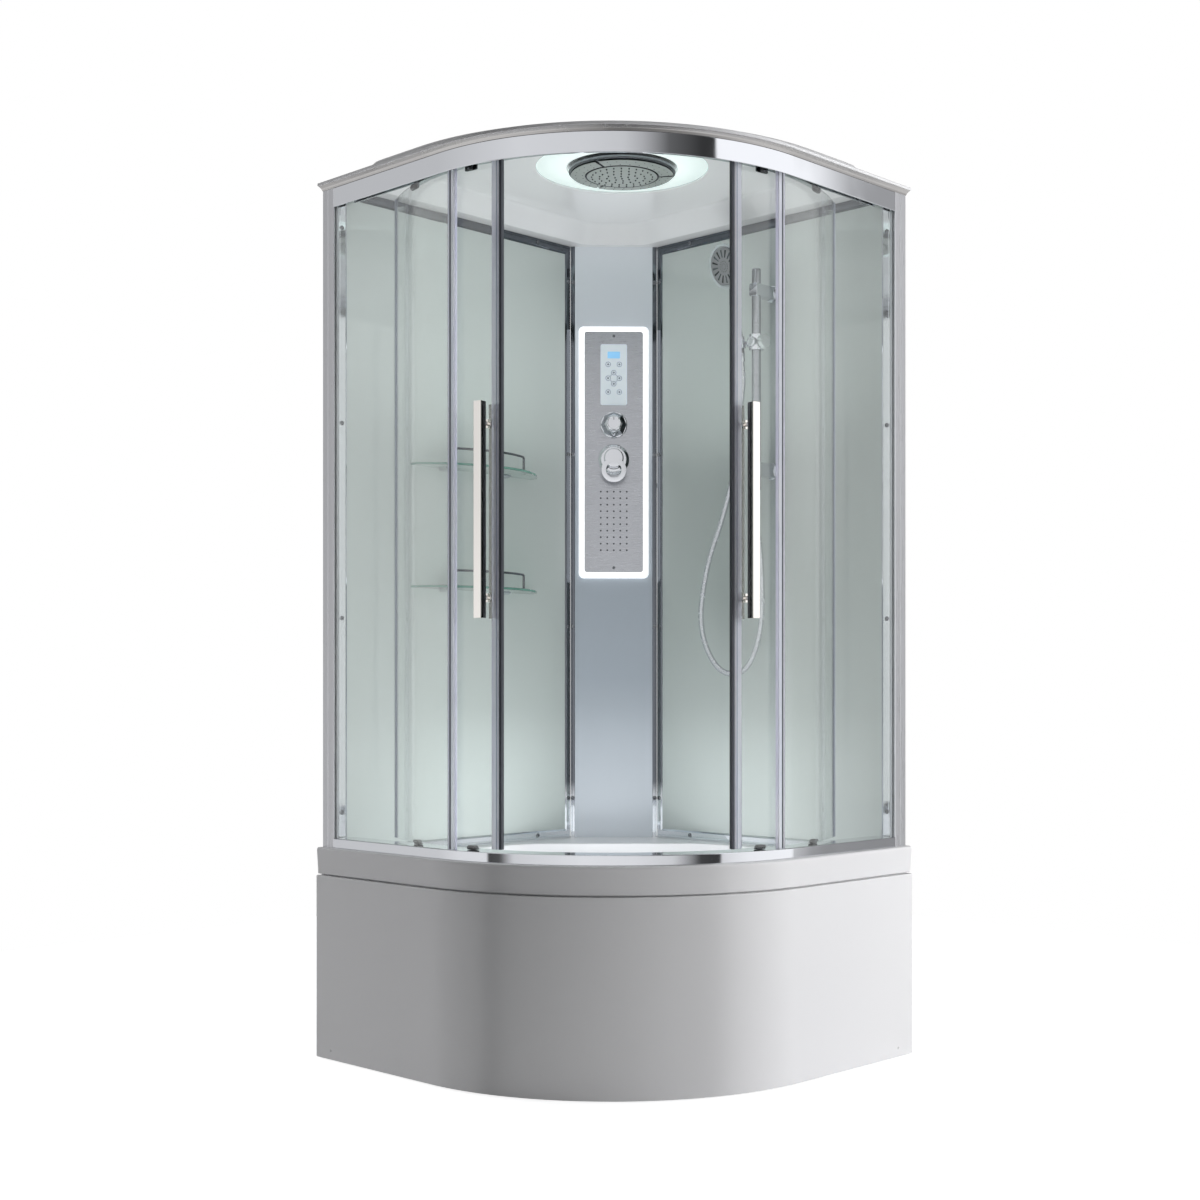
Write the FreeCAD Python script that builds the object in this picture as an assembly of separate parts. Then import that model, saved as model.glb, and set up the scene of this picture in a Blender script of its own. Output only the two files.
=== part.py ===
"""Quadrant shower cabin on a deep tray, with two curved sliding doors. Lengths are in millimetres.

The origin is on the floor under the middle of the square plan, +Z is up. The room corner is at
-X +Y: the left wall panel lies along the plane x = -cabin_side / 2, the right one along
y = +cabin_side / 2, and the curved front faces +X -Y. The doors stand open.
"""
import FreeCAD
import Part
import math
import os

Vector = FreeCAD.Vector

# Plan of the cabin
cabin_side = 1000
front_radius = 575
wall_depth = 30
overrun = 5
run_gap = 0.3
fit_gap = 0.05
touch_gap = 0.5

# Heights of the main levels
total_height = 2150
apron_foot = 3
apron_top = 430
rim_foot = 433
ledge_level = 471
rim_top = 495
bottom_rail_height = 22
top_rail_drop = 105
top_rail_height = 45
wall_over_rail = 11
lip_height = 11
riser_over_roof = 35

# Tray
apron_thickness = 4
apron_return = 25
rim_foot_inset = 8
rim_top_inset = 4
rim_width = 98
tray_skin = 6
basin_front_inset = 106
basin_wall_inset = 80
basin_corner_cut = 330
basin_corner_round = 70
basin_floor = 190
seat_corner_cut = 520
seat_level = 400
drain_x = 0
drain_y = -170
drain_hole_radius = 45
drain_cover_radius = 56
drain_cover_thickness = 5
drain_recess = 3
trap_radius = 52
trap_height = 75
trap_wall = 3
outlet_pipe_radius = 20
outlet_pipe_wall = 2
outlet_pipe_level = 134
outlet_pipe_stand_in = 12
outlet_collar_radius = 24
outlet_collar_length = 24

# Support frame and feet
tube_side = 25
frame_leg_inset = 55
apron_bracket_radius = 8
foot_pad_top_share = 0.6
foot_pad_radius = 25
foot_pad_height = 8
foot_stud_radius = 6
foot_stud_height = 60

# Rails, posts and fixed glass, as insets from the tray edge
rail_inset = 21
rail_depth = 66
rail_wall = 3
top_rail_inner_skin = 22
glass_thickness = 5
fixed_glass_inset = 27
fixed_glass_end_angle = 42.5
fixed_seal_angle = 40.3
fixed_seal_lap = 0.8
fixed_seal_lap_angle = 0.8
fixed_seal_side = 4
post_width = 42
post_depth = 19
post_slot_depth = 12

# Sliding doors: angles are taken about the arc's centre, off the cabin's diagonal
door_inset = 41.5
door_lead_angle = 27.6
door_profile_angle = 2.6
door_glass_lap_angle = 1.2
door_trail_angle = 74
door_trail_profile_angle = 1.4
door_profile_side = 3
door_foot_gap = 5
door_head_drop = 37

# Door running gear
track_setback = 10.5
track_ledge_width = 12
track_ledge_thickness = 3
track_ledge_rise = 12
track_web = 3
track_end_angle = 63
wheel_radius = 9
wheel_width = 8
wheel_groove = 1.2
wheel_groove_shares = (0.3, 0.5, 0.7)
wheel_axle_radius = 2.5
hanger_angles = (36.8, 58.5)
hanger_width = 34
hanger_thickness = 2.9
hanger_hang = 24
hanger_pad_thickness = 5
guide_height = 18
guide_width = 26
guide_depth = 12

# Door handles
handle_angle = 31.5
handle_side = 20
handle_foot = 1020
handle_top = 1486
handle_outer_gap = 30.5
handle_inner_gap = 23.5
handle_standoff_radius = 5
handle_standoff_end = 45

# Wall panels
wall_stile = 34
wall_rear_stile = 17
wall_member = 23
wall_glass_setback = 4
wall_glass_thickness = 6
wall_glass_lap = 6
wall_front_setback = 40

# Corner column
column_offset = 194
column_strip_width = 12
column_strip_thickness = 10
column_panel_thickness = 6
column_hatch_width = 116
column_hatch_foot_drop = 841
column_hatch_top_drop = 266

# Control panel on the column
led_width = 188
led_foot_drop = 890
led_top_drop = 216
led_depth = 12
led_ring_width = 26
led_corner_radius = 14
plate_width = 157
plate_foot_drop = 875
plate_top_drop = 231
plate_thickness = 4
plate_corner_radius = 7
plate_screw_radius = 4
plate_screw_inset = 12
plate_screw_proud = 1.5
keypad_width = 71
keypad_foot_drop = 428
keypad_top_drop = 265
keypad_thickness = 2
key_radius = 7
key_proud = 0.4
key_middle_drop = 91
key_pitch = 15
key_end_pitch = 22
key_shift = 15
grille_foot_drop = 816
grille_columns = 5
grille_rows = 10
grille_pitch = 17.4
grille_hole_radius = 2.25
speaker_radius = 46
speaker_depth = 30
speaker_waist_share = 0.7

# Diverter knob
diverter_level_drop = 481
diverter_base_radius = 36
diverter_base_height = 6
diverter_foot_share = 0.97
diverter_top_share = 1.12
diverter_sides = 8
diverter_skirt_height = 20
diverter_cap_radius = 20.5
diverter_cap_height = 14
diverter_spindle_radius = 5

# Mixer
mixer_level_drop = 574
escutcheon_radius = 41
escutcheon_height = 9
escutcheon_bore = 20
escutcheon_face_share = 0.82
mixer_stem_radius = 8
mixer_flange_radius = 18
mixer_flange_height = 3
mixer_neck_radius = 9
mixer_neck_height = 21
mixer_pin_radius = 3
mixer_pin_reach = 19
mixer_pin_height = 19.5
mixer_cap_radius = 26
mixer_cap_bore = 21.5
mixer_cap_depth = 20
mixer_cap_skin = 3.5
mixer_cap_over_pin = 10.5
mixer_ear_radius = 5.5
lever_drop = 32
lever_outer_radius = 33
lever_inner_radius = 20
lever_thickness = 6

# Control valve and pipes behind the column
valve_width = 90
valve_depth = 46
valve_foot_drop = 656
valve_top_drop = 456
inlet_radius = 10.5
inlet_length = 20
inlet_spread = 28
inlet_level_drop = 616
riser_radius = 8
riser_setback = 78
riser_bend_radius = 30
riser_start_run = 50
bend_run_share = 0.9
feed_radius = 6
feed_wall_gap = 10
feed_bend_radius = 20
feed_side_run = 28
feed_port_setback = 34
feed_end_run = 14
spindle_seat_depth = 14

# Roof
lip_inset = 5
lip_taper = 2
dome_inset = 65
dome_slope = 30
ceiling_front_inset = 100
ceiling_wall_inset = 70
ceiling_slope = 50
ceiling_rise = 43
light_radius = 204
light_inner_radius = 132
light_thickness = 5
light_recess = 9
power_box_width = 130
power_box_depth = 75
power_box_height = 32
power_box_round = 4
power_box_x = -90
power_box_y = 230

# Overhead shower
head_shift = 11
head_radius = 127
head_drop = 12
head_rim = 9
head_back = 12
head_crown = 10
nozzle_edge_share = 0.55
nozzle_half_share = 0.85
nozzle_plate_radius = 84
nozzle_plate_thickness = 3
head_neck_radius = 10
head_nut_radius = 17
head_nut_height = 8

# Slide bar and slider, on the right wall
bar_x = 92
bar_stand_off = 60
bar_radius = 11.5
bar_foot_drop = 690
bar_top_drop = 136
bracket_block_width = 26
upper_bracket_foot_drop = 206
upper_bracket_top_drop = 174
lower_bracket_foot_drop = 656
lower_bracket_top_drop = 620
bracket_flange_radius = 21
bracket_flange_thickness = 4
outlet_neck_radius = 7.5
outlet_nut_radius = 10
outlet_nut_length = 26
slider_level_drop = 321
slider_height = 40
slider_radius = 18.5
slider_button_radius = 13
slider_button_reach = 24
clamp_knob_radius = 18
clamp_knob_width = 13
clamp_knob_lobes = 6
clamp_lobe_radius = 3.5
clamp_stem_radius = 4
clamp_seat_depth = 5
pivot_pin_radius = 5
pivot_pin_reach = 11

# Shower holder
holder_x = 58
holder_forward = 20
holder_radius = 15.5
holder_height = 30
holder_slot = 15
holder_hub_radius = 10
holder_ring_clearance = 0.3

# Handset: its handle runs from the tail to a point behind the middle of the spray face
handset_tail_drop = 32
handset_face_x = 37
handset_face_forward = 58
handset_face_drop = 131
handset_face_turn = 6.5
handset_face_nod = 15.6
handset_axis_setback = 14
handset_tail_radius = 10.5
handset_nut_length = 16
handset_neck_radius = 13
handset_head_radius = 56
handset_head_depth = 24
handset_head_shares = ((1, 0), (1, 0.3), (0.72, 0.7), (0.42, 0.93), (0.12, 1), (0, 0.965), (0, 0))
spray_dial_radius = 47
spray_dial_thickness = 3
spray_boss_radius = 12
spray_boss_length = 4

# Shower hose, from the handset's nut to the outlet at the slide bar's foot
hose_radius = 7
hose_bend_share = 0.45
hose_top_route = (
    (59.367, 391.727, 1687.152),
    (62.357, 395.505, 1652.486),
    (53.5, 399.5, 1600.0),
    (44.5, 401.3, 1550.0),
)
hose_mid_route = (
    (44.5, 401.3, 1550.0),
    (35.5, 403.1, 1500.0),
    (22.0, 403.5, 1405.0),
    (1.0, 403.7, 1347.0),
)
hose_drop_route = (
    (1.0, 403.7, 1347.0),
    (-20.0, 403.9, 1289.0),
    (-61.0, 404.2, 1205.0),
    (-83.0, 404.4, 1118.0),
    (-92.0, 404.6, 1045.0),
    (-76.0, 404.8, 981.0),
    (-58.5, 405.0, 954.5),
)
hose_rise_route = (
    (-58.5, 405.0, 954.5),
    (-41.0, 405.2, 928.0),
    (-6.0, 405.5, 908.0),
    (31.0, 406.0, 905.0),
    (65.0, 406.5, 921.0),
    (90.0, 406.8, 960.0),
    (106.0, 407.3, 1010.0),
    (113.0, 407.8, 1070.0),
    (111.0, 408.3, 1142.0),
    (105.0, 409.0, 1218.0),
    (92.0, 410.0, 1286.0),
    (92.0, 410.0, 1340.0),
)

# Glass shelves on the left wall
lower_shelf_drop = 939
upper_shelf_drop = 638
shelf_centre_y = -35
shelf_length = 400
shelf_reach = 118
shelf_thickness = 6
shelf_clamp_shift = 95
shelf_clamp_width = 28
shelf_clamp_height = 18
shelf_clamp_reach = 24
shelf_rail_height = 38
shelf_rail_radius = 3
shelf_rail_inset = 22
shelf_end_depth = 24
shelf_rail_span_share = 0.62
shelf_button_radius = 6
shelf_button_height = 3

# Chrome screw caps
cap_radius = 5.5
cap_proud = 2.5
cap_row_shares = (0.0662, 0.3565, 0.648, 0.9394)
member_cap_shares = (0.1553, 0.876)
apron_screw_setback = 60
apron_screw_level = 24

# Places worked out from the sizes above
half = cabin_side / 2
arc_x = half - front_radius
arc_y = front_radius - half
bottom_rail_top = rim_top + bottom_rail_height
top_rail_top = total_height - top_rail_drop
top_rail_foot = top_rail_top - top_rail_height
wall_top = top_rail_top + wall_over_rail
lip_top = wall_top + lip_height
roof_top = total_height - riser_over_roof
ceiling_level = wall_top + ceiling_rise
head_level = ceiling_level - head_drop
track_ledge_level = top_rail_foot + track_ledge_rise
post_back_inset = rail_inset + post_depth
column_half_width = (column_offset - wall_depth) / math.sqrt(2)
column_reach = (column_offset + wall_depth) / math.sqrt(2)
column_face_x = -half + column_reach / math.sqrt(2)
column_face_y = half - column_reach / math.sqrt(2)
plate_back = -led_depth
plate_front = plate_back - plate_thickness
wheel_level = track_ledge_level + track_ledge_thickness + run_gap + wheel_radius
door_outer_radius = front_radius - door_inset
door_inner_radius = door_outer_radius - glass_thickness
track_radius = door_inner_radius - track_setback
handle_outer_radius = door_outer_radius + handle_outer_gap
handle_inner_radius = door_inner_radius - handle_inner_gap
door_foot = bottom_rail_top + door_foot_gap
door_head = top_rail_top - door_head_drop
bar_y = half - wall_depth - bar_stand_off
column_hatch_foot = wall_top - column_hatch_foot_drop
column_hatch_top = wall_top - column_hatch_top_drop
led_foot = wall_top - led_foot_drop
led_top = wall_top - led_top_drop
plate_foot = wall_top - plate_foot_drop
plate_top = wall_top - plate_top_drop
keypad_foot = wall_top - keypad_foot_drop
keypad_top = wall_top - keypad_top_drop
grille_foot = wall_top - grille_foot_drop
diverter_level = wall_top - diverter_level_drop
mixer_level = wall_top - mixer_level_drop
valve_foot = wall_top - valve_foot_drop
valve_top = wall_top - valve_top_drop
inlet_level = wall_top - inlet_level_drop
bar_foot = wall_top - bar_foot_drop
bar_top = wall_top - bar_top_drop
upper_bracket_foot = wall_top - upper_bracket_foot_drop
upper_bracket_top = wall_top - upper_bracket_top_drop
lower_bracket_foot = wall_top - lower_bracket_foot_drop
lower_bracket_top = wall_top - lower_bracket_top_drop
slider_level = wall_top - slider_level_drop
handset_face_y = bar_y - handset_face_forward
handset_face_z = wall_top - handset_face_drop
key_middle = keypad_top - key_middle_drop
key_reach = key_pitch + key_end_pitch
key_rows = (
    key_middle + key_reach, key_middle + key_pitch, key_middle, key_middle - key_pitch, key_middle - key_reach
)
shelf_levels = (wall_top - lower_shelf_drop, wall_top - upper_shelf_drop)
cap_rows = [ledge_level + (wall_top - ledge_level) * share for share in cap_row_shares]
parts = {}


def at(x, y, z=0):
    return Vector(x, y, z)


def block(x0, x1, y0, y1, z0, z1):
    """A box between two corners."""
    return Part.makeBox(x1 - x0, y1 - y0, z1 - z0, at(x0, y0, z0))


def rod(start, direction, radius, length):
    return Part.makeCylinder(radius, length, start, direction)


def joined(*shapes):
    """One solid from shapes that overlap or touch."""
    if len(shapes) == 1:
        return shapes[0]
    return shapes[0].multiFuse(list(shapes[1:])).removeSplitter()


def group(*shapes):
    return Part.makeCompound(list(shapes))


def twin(shape):
    """The same piece on the other side of the cabin's diagonal."""
    return shape.mirror(Vector(), Vector(1, 1, 0))


def prism(edges, z0, z1):
    """The closed outline of edges, drawn at any level, standing from z0 to z1."""
    wire = Part.Wire(edges)
    wire.translate(at(0, 0, z0 - wire.BoundBox.ZMin))
    return Part.Face(wire).extrude(at(0, 0, z1 - z0))


def polygon(points):
    closed = list(points) + [points[0]]
    return [Part.LineSegment(a, b).toShape() for a, b in zip(closed, closed[1:])]


def polar(radius, angle, z=0):
    """A point about the arc's centre, angle degrees off the diagonal towards the left wall."""
    turn = math.radians(-45 - angle)
    return at(arc_x + radius * math.cos(turn), arc_y + radius * math.sin(turn), z)


def outward(angle):
    """The direction away from the arc's centre."""
    turn = math.radians(-45 - angle)
    return at(math.cos(turn), math.sin(turn))


def arc(radius, start, end, z=0):
    middle = (start + end) / 2
    points = [polar(radius, angle, z) for angle in (start, middle, end)]
    return Part.Arc(*points).toShape()


def line(start, end):
    return Part.LineSegment(start, end).toShape()


def arc_band(inner, outer, start, end, z0, z1):
    """A curved wall about the arc's centre."""
    edges = [
        arc(outer, start, end),
        line(polar(outer, end), polar(inner, end)),
        arc(inner, end, start),
        line(polar(inner, start), polar(outer, start)),
    ]
    return prism(edges, z0, z1)


def plan_edges(front_inset, wall_inset, corner_cut, z):
    """The cabin's plan, drawn in from its front and its walls, with the back corner cut off."""
    radius = front_radius - front_inset
    front_left = at(-half + wall_inset, -half + front_inset, z)
    bend_left = at(arc_x, -half + front_inset, z)
    bend_right = at(half - front_inset, arc_y, z)
    front_right = at(half - front_inset, half - wall_inset, z)
    edges = [
        line(front_left, bend_left),
        arc(radius, 45, -45, z),
        line(bend_right, front_right),
    ]
    if corner_cut:
        cut_right = at(-half + wall_inset + corner_cut, half - wall_inset, z)
        cut_left = at(-half + wall_inset, half - wall_inset - corner_cut, z)
        edges += [line(front_right, cut_right), line(cut_right, cut_left), line(cut_left, front_left)]
    else:
        back = at(-half + wall_inset, half - wall_inset, z)
        edges += [line(front_right, back), line(back, front_left)]
    return edges


def plan_prism(front_inset, wall_inset, z0, z1, corner_cut=0):
    return prism(plan_edges(front_inset, wall_inset, corner_cut, z0), z0, z1)


def plan_loft(lower, upper, z0, z1):
    """A solid between two plans, each given as its front and wall insets."""
    wires = [Part.Wire(plan_edges(front, wall, 0, z)) for (front, wall), z in ((lower, z0), (upper, z1))]
    return Part.makeLoft(wires, True, True)


def front_band(outer_inset, inner_inset, z0, z1, end_gap=0):
    """A wall that follows the cabin's front from one room wall to the other."""
    outer = plan_prism(outer_inset, end_gap, z0, z1)
    inner = plan_prism(inner_inset, -overrun, z0 - overrun, z1 + overrun)
    return outer.cut(inner)


def side_strip(outer_inset, inner_inset, start, end_angle, z0, z1):
    """A wall along the front's left half: straight from the room wall, then along the arc."""
    outer = front_radius - outer_inset
    inner = front_radius - inner_inset
    edges = [
        line(at(-half + start, -half + outer_inset), at(arc_x, -half + outer_inset)),
        arc(outer, 45, end_angle),
        line(polar(outer, end_angle), polar(inner, end_angle)),
        arc(inner, end_angle, 45),
        line(at(arc_x, -half + inner_inset), at(-half + start, -half + inner_inset)),
        line(at(-half + start, -half + inner_inset), at(-half + start, -half + outer_inset)),
    ]
    return prism(edges, z0, z1)


def wall_slots(z0, z1):
    """The room that the two wall panels take, up to the posts."""
    left = block(-half - overrun, -half + wall_depth, -half + post_back_inset, half + overrun, z0, z1)
    return joined(left, twin(left))


def corner_edges(shape):
    """Upright edges of a plan's prism, without the two where its front starts to bend."""
    found = []
    for edge in shape.Edges:
        box = edge.BoundBox
        upright = box.XLength < fit_gap and box.YLength < fit_gap and box.ZLength > fit_gap
        bend = abs(box.Center.x - arc_x) < fit_gap or abs(box.Center.y - arc_y) < fit_gap
        if upright and not bend:
            found.append(edge)
    return found


def revolved(profile, centre, direction):
    """A turned piece: profile is (distance along direction, radius) points, closed on the axis."""
    points = [at(radius, 0, along) for along, radius in profile]
    face = Part.Face(Part.Wire(polygon(points)))
    solid = face.revolve(Vector(), at(0, 0, 1), 360)
    solid.Placement = FreeCAD.Placement(centre, FreeCAD.Rotation(at(0, 0, 1), direction))
    return solid


def rounded_slab(width, z0, z1, y0, y1, radius):
    """An upright plate about x = 0 with rounded corners in its X-Z outline."""
    slab = block(-width / 2, width / 2, y0, y1, z0, z1)
    corners = [edge for edge in slab.Edges if edge.BoundBox.YLength > (y1 - y0) / 2]
    return slab.makeFillet(radius, corners)


def on_column(shape):
    """Places a piece drawn with X along the column's width and -Y out of its face."""
    placed = shape.copy()
    placed.rotate(Vector(), at(0, 0, 1), 45)
    placed.translate(at(column_face_x, column_face_y))
    return placed


def column_point(x, y, z):
    turn = math.radians(45)
    return at(
        column_face_x + x * math.cos(turn) - y * math.sin(turn),
        column_face_y + x * math.sin(turn) + y * math.cos(turn),
        z,
    )


def path_edges(points, corner_radius):
    """Straight runs joined by tangent arcs; corner_radius gives each corner's radius."""
    edges = []
    start = points[0]
    for before, corner, after in zip(points, points[1:], points[2:]):
        into = corner - before
        out = after - corner
        turn = into.getAngle(out)
        radius = corner_radius(into.Length, out.Length, turn)
        setback = radius * math.tan(turn / 2)
        into.normalize()
        out.normalize()
        first = corner - into * setback
        last = corner + out * setback
        bisector = (out - into).normalize()
        middle = corner + bisector * (radius / math.cos(turn / 2) - radius)
        edges.append(line(start, first))
        edges.append(Part.Arc(first, middle, last).toShape())
        start = last
    edges.append(line(start, points[-1]))
    return edges


def swept(points, radius, corner_radius):
    """A round bar along straight runs and arcs."""
    edges = path_edges(points, corner_radius)
    circle = Part.Wire(Part.makeCircle(radius, points[0], points[1] - points[0]))
    path = Part.Wire(edges)
    bar = path.makePipeShell([circle], True, False)
    length = sum(edge.Length for edge in edges)
    full = math.pi * radius ** 2 * length
    if abs(bar.Volume - full) > full / 100:
        raise RuntimeError("a swept bar has the wrong volume")
    return bar, length


def pipe(points, radius, bend_radius):
    """A bent pipe whose bends tighten where a run is short."""
    def corner_radius(run_in, run_out, turn):
        return min(bend_radius, bend_run_share * min(run_in, run_out) / math.tan(turn / 2))

    return swept(points, radius, corner_radius)[0]


def keep(name, shape):
    """Files a piece under its node's name."""
    for solid in shape.Solids:
        if not solid.isValid() or solid.Volume <= 0:
            raise RuntimeError("bad solid in " + name)
    parts[name] = shape


def make_tray():
    rim = plan_loft((rim_foot_inset, 0), (rim_top_inset, 0), rim_foot, rim_top)
    above_ledge = plan_prism(rim_width, -overrun, ledge_level, rim_top + overrun)
    rim = rim.cut(joined(above_ledge, wall_slots(ledge_level, rim_top + overrun)))
    rim_skirt = rim_foot_inset + tray_skin
    underside = plan_prism(rim_skirt, tray_skin, rim_foot - overrun, ledge_level - tray_skin)
    rim = rim.cut(underside)
    skin = tray_skin
    deep = plan_prism(basin_front_inset, basin_wall_inset, basin_floor, rim_top + overrun, seat_corner_cut)
    deep = deep.makeFillet(basin_corner_round, corner_edges(deep))
    seat = plan_prism(basin_front_inset, basin_wall_inset, seat_level, rim_top + overrun, basin_corner_cut)
    seat = seat.makeFillet(basin_corner_round, corner_edges(seat))
    deep_shell = plan_prism(
        basin_front_inset - skin, basin_wall_inset - skin, basin_floor - skin, ledge_level - skin,
        seat_corner_cut,
    )
    seat_shell = plan_prism(
        basin_front_inset - skin, basin_wall_inset - skin, seat_level - skin, ledge_level - skin,
        basin_corner_cut,
    )
    tray = joined(rim, deep_shell, seat_shell).cut(joined(deep, seat))
    up = at(0, 0, 1)
    hole_foot = at(drain_x, drain_y, basin_floor - skin - overrun)
    drain = rod(hole_foot, up, drain_hole_radius, skin + 2 * overrun)
    recess_foot = at(drain_x, drain_y, basin_floor - drain_recess)
    recess = rod(recess_foot, up, drain_cover_radius + touch_gap, drain_recess + overrun)
    keep("tray_shell", tray.cut(joined(drain, recess)))


def make_apron():
    apron = front_band(0, apron_thickness, apron_foot, apron_top)
    end = block(
        -half, -half + apron_thickness, -half, -half + apron_return, apron_foot, apron_top
    )
    keep("apron_panel", joined(apron, end, twin(end)))


def leg_places():
    """Back corner, both front corners, the middle of the curved front, and the centre."""
    near = half - frame_leg_inset
    front = polar(front_radius - frame_leg_inset, 0)
    return [(-near, near), (-near, -near), (near, near), (front.x, front.y), (0, 0)]


def apron_bracket_places():
    """Where stub brackets leave the front legs, and the way that each one runs to the apron."""
    level = (apron_foot + apron_top) / 2
    left, right, front = [at(x, y, level) for x, y in leg_places()[1:4]]
    return ((left, at(0, -1, 0)), (right, at(1, 0, 0)), (front, at(1, -1, 0)))


def make_frame():
    beam_top = basin_floor - tray_skin
    beam_foot = beam_top - tube_side
    side = tube_side
    places = leg_places()
    foot = foot_pad_height + foot_stud_height / 2
    pieces = []
    for start, end in ((places[1], places[2]), (places[0], places[3])):
        run = at(end[0] - start[0], end[1] - start[1])
        beam = block(0, run.Length, -side / 2, side / 2, beam_foot, beam_top)
        beam.rotate(Vector(), at(0, 0, 1), math.degrees(math.atan2(run.y, run.x)))
        beam.translate(at(start[0], start[1]))
        pieces.append(beam)
    for x, y in places:
        head = beam_top if (x, y) == (0, 0) else ledge_level - tray_skin
        pieces.append(block(x - side / 2, x + side / 2, y - side / 2, y + side / 2, foot, head))
    for place, direction in apron_bracket_places():
        reach = frame_leg_inset - apron_thickness
        pieces.append(rod(place, direction, apron_bracket_radius, reach))
    frame = joined(*pieces).cut(parts["apron_panel"])
    sockets = [
        rod(at(x, y, foot - overrun), at(0, 0, 1), foot_stud_radius, foot_stud_height / 2 + overrun)
        for x, y in places
    ]
    keep("tray_frame", frame.cut(joined(*sockets)))
    feet = []
    for x, y in places:
        pad = Part.makeCone(foot_pad_radius, foot_pad_radius * foot_pad_top_share, foot_pad_height, at(x, y))
        stud = rod(at(x, y), at(0, 0, 1), foot_stud_radius, foot_pad_height + foot_stud_height)
        feet.append(joined(pad, stud))
    keep("levelling_feet", group(*feet))


def make_drain():
    top = basin_floor - tray_skin
    centre = at(drain_x, drain_y)
    cup = rod(centre + at(0, 0, top - trap_height), at(0, 0, 1), trap_radius, trap_height)
    bore = rod(
        centre + at(0, 0, top - trap_height + trap_wall), at(0, 0, 1), trap_radius - trap_wall, trap_height
    )
    start = at(-half + outlet_pipe_stand_in, drain_y, outlet_pipe_level)
    reach = drain_x - start.x
    tail = rod(start, at(1, 0, 0), outlet_pipe_radius, reach)
    tail_bore = rod(start - at(overrun, 0, 0), at(1, 0, 0), outlet_pipe_radius - outlet_pipe_wall, reach)
    collar_reach = trap_radius + outlet_collar_length
    collar_start = at(drain_x - collar_reach, drain_y, outlet_pipe_level)
    collar = rod(collar_start, at(1, 0, 0), outlet_collar_radius, collar_reach)
    keep("drain_trap", joined(cup, tail, collar).cut(joined(bore, tail_bore)))
    cover_foot = basin_floor - drain_recess
    cover = rod(centre + at(0, 0, cover_foot), at(0, 0, 1), drain_cover_radius, drain_cover_thickness)
    cover = cover.makeChamfer(drain_cover_thickness / 3, [cover.Edges[0]])
    plug = rod(
        centre + at(0, 0, cover_foot - tray_skin), at(0, 0, 1), drain_hole_radius - touch_gap, tray_skin
    )
    waterway = rod(
        centre + at(0, 0, cover_foot - tray_skin - overrun), at(0, 0, 1),
        drain_hole_radius - touch_gap - trap_wall, tray_skin + overrun,
    )
    keep("drain_cover", joined(cover, plug).cut(waterway))


def make_rails():
    far = rail_inset + rail_depth
    rail = front_band(rail_inset, far, rim_top, bottom_rail_top, post_width)
    groove = front_band(
        rail_inset + rail_wall, far - rail_wall, rim_top - overrun, bottom_rail_top - rail_wall,
        post_width - overrun,
    )
    keep("bottom_rail", rail.cut(groove))
    web_top = top_rail_top
    web_foot = top_rail_top - rail_wall
    skin = front_band(rail_inset, rail_inset + rail_wall, top_rail_foot, web_top, post_width)
    cover = front_band(rail_inset, far, web_foot, web_top, post_width)
    back = front_band(far - rail_wall, far, top_rail_foot + top_rail_inner_skin, web_top, post_width)
    ledge_inner = track_radius - track_ledge_width / 2
    ledge_outer = track_radius + track_ledge_width / 2
    ledge_top = track_ledge_level + track_ledge_thickness
    ledge = arc_band(
        ledge_inner - track_web, ledge_outer, track_end_angle, -track_end_angle, track_ledge_level, ledge_top
    )
    web = arc_band(
        ledge_inner - track_web, ledge_inner, track_end_angle, -track_end_angle, track_ledge_level, web_top
    )
    keep("top_rail", joined(skin, cover, back, ledge, web))


def make_posts_and_fixed_glass():
    front = -half + rail_inset
    post = block(-half, -half + post_width, front, front + post_depth, rim_top, top_rail_top)
    start = post_width - post_slot_depth
    inner = fixed_glass_inset + glass_thickness
    web_foot = top_rail_top - rail_wall
    glass = side_strip(
        fixed_glass_inset, inner, start, fixed_glass_end_angle, bottom_rail_top, web_foot
    )
    keep("left_post", post.cut(glass))
    keep("right_post", twin(post.cut(glass)))
    keep("left_fixed_glass", glass)
    keep("right_fixed_glass", twin(glass))
    outer_radius = front_radius - fixed_glass_inset + fixed_seal_lap
    inner_radius = front_radius - inner - fixed_seal_side
    seal = arc_band(
        inner_radius, outer_radius, fixed_glass_end_angle + fixed_seal_lap_angle, fixed_seal_angle,
        bottom_rail_top, web_foot,
    ).cut(glass)
    keep("fixed_glass_seals", group(seal, twin(seal)))


def hanger(angle):
    """The plate that carries one wheel, and the guide that steadies the glass below it."""
    back = door_inner_radius
    front = back - hanger_thickness
    plate_foot_level = door_head - hanger_hang
    plate_head_level = wheel_level + wheel_radius / 2
    half_angle = math.degrees(hanger_width / 2 / back)
    plate = arc_band(front, back, angle + half_angle, angle - half_angle, plate_foot_level, plate_head_level)
    axle_end = track_radius - wheel_width / 2 - run_gap
    axle_length = front + hanger_thickness / 2 - axle_end
    axle = rod(polar(axle_end, angle, wheel_level), outward(angle), wheel_axle_radius, axle_length)
    pad = arc_band(
        door_outer_radius, door_outer_radius + hanger_pad_thickness, angle + half_angle / 2,
        angle - half_angle / 2, plate_foot_level, door_head - hanger_thickness,
    )
    guide_half = math.degrees(guide_width / 2 / back)
    guide = arc_band(
        back - guide_depth, back, angle + guide_half, angle - guide_half,
        bottom_rail_top + run_gap, bottom_rail_top + run_gap + guide_height,
    )
    return [joined(plate, axle), pad, guide]


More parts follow.
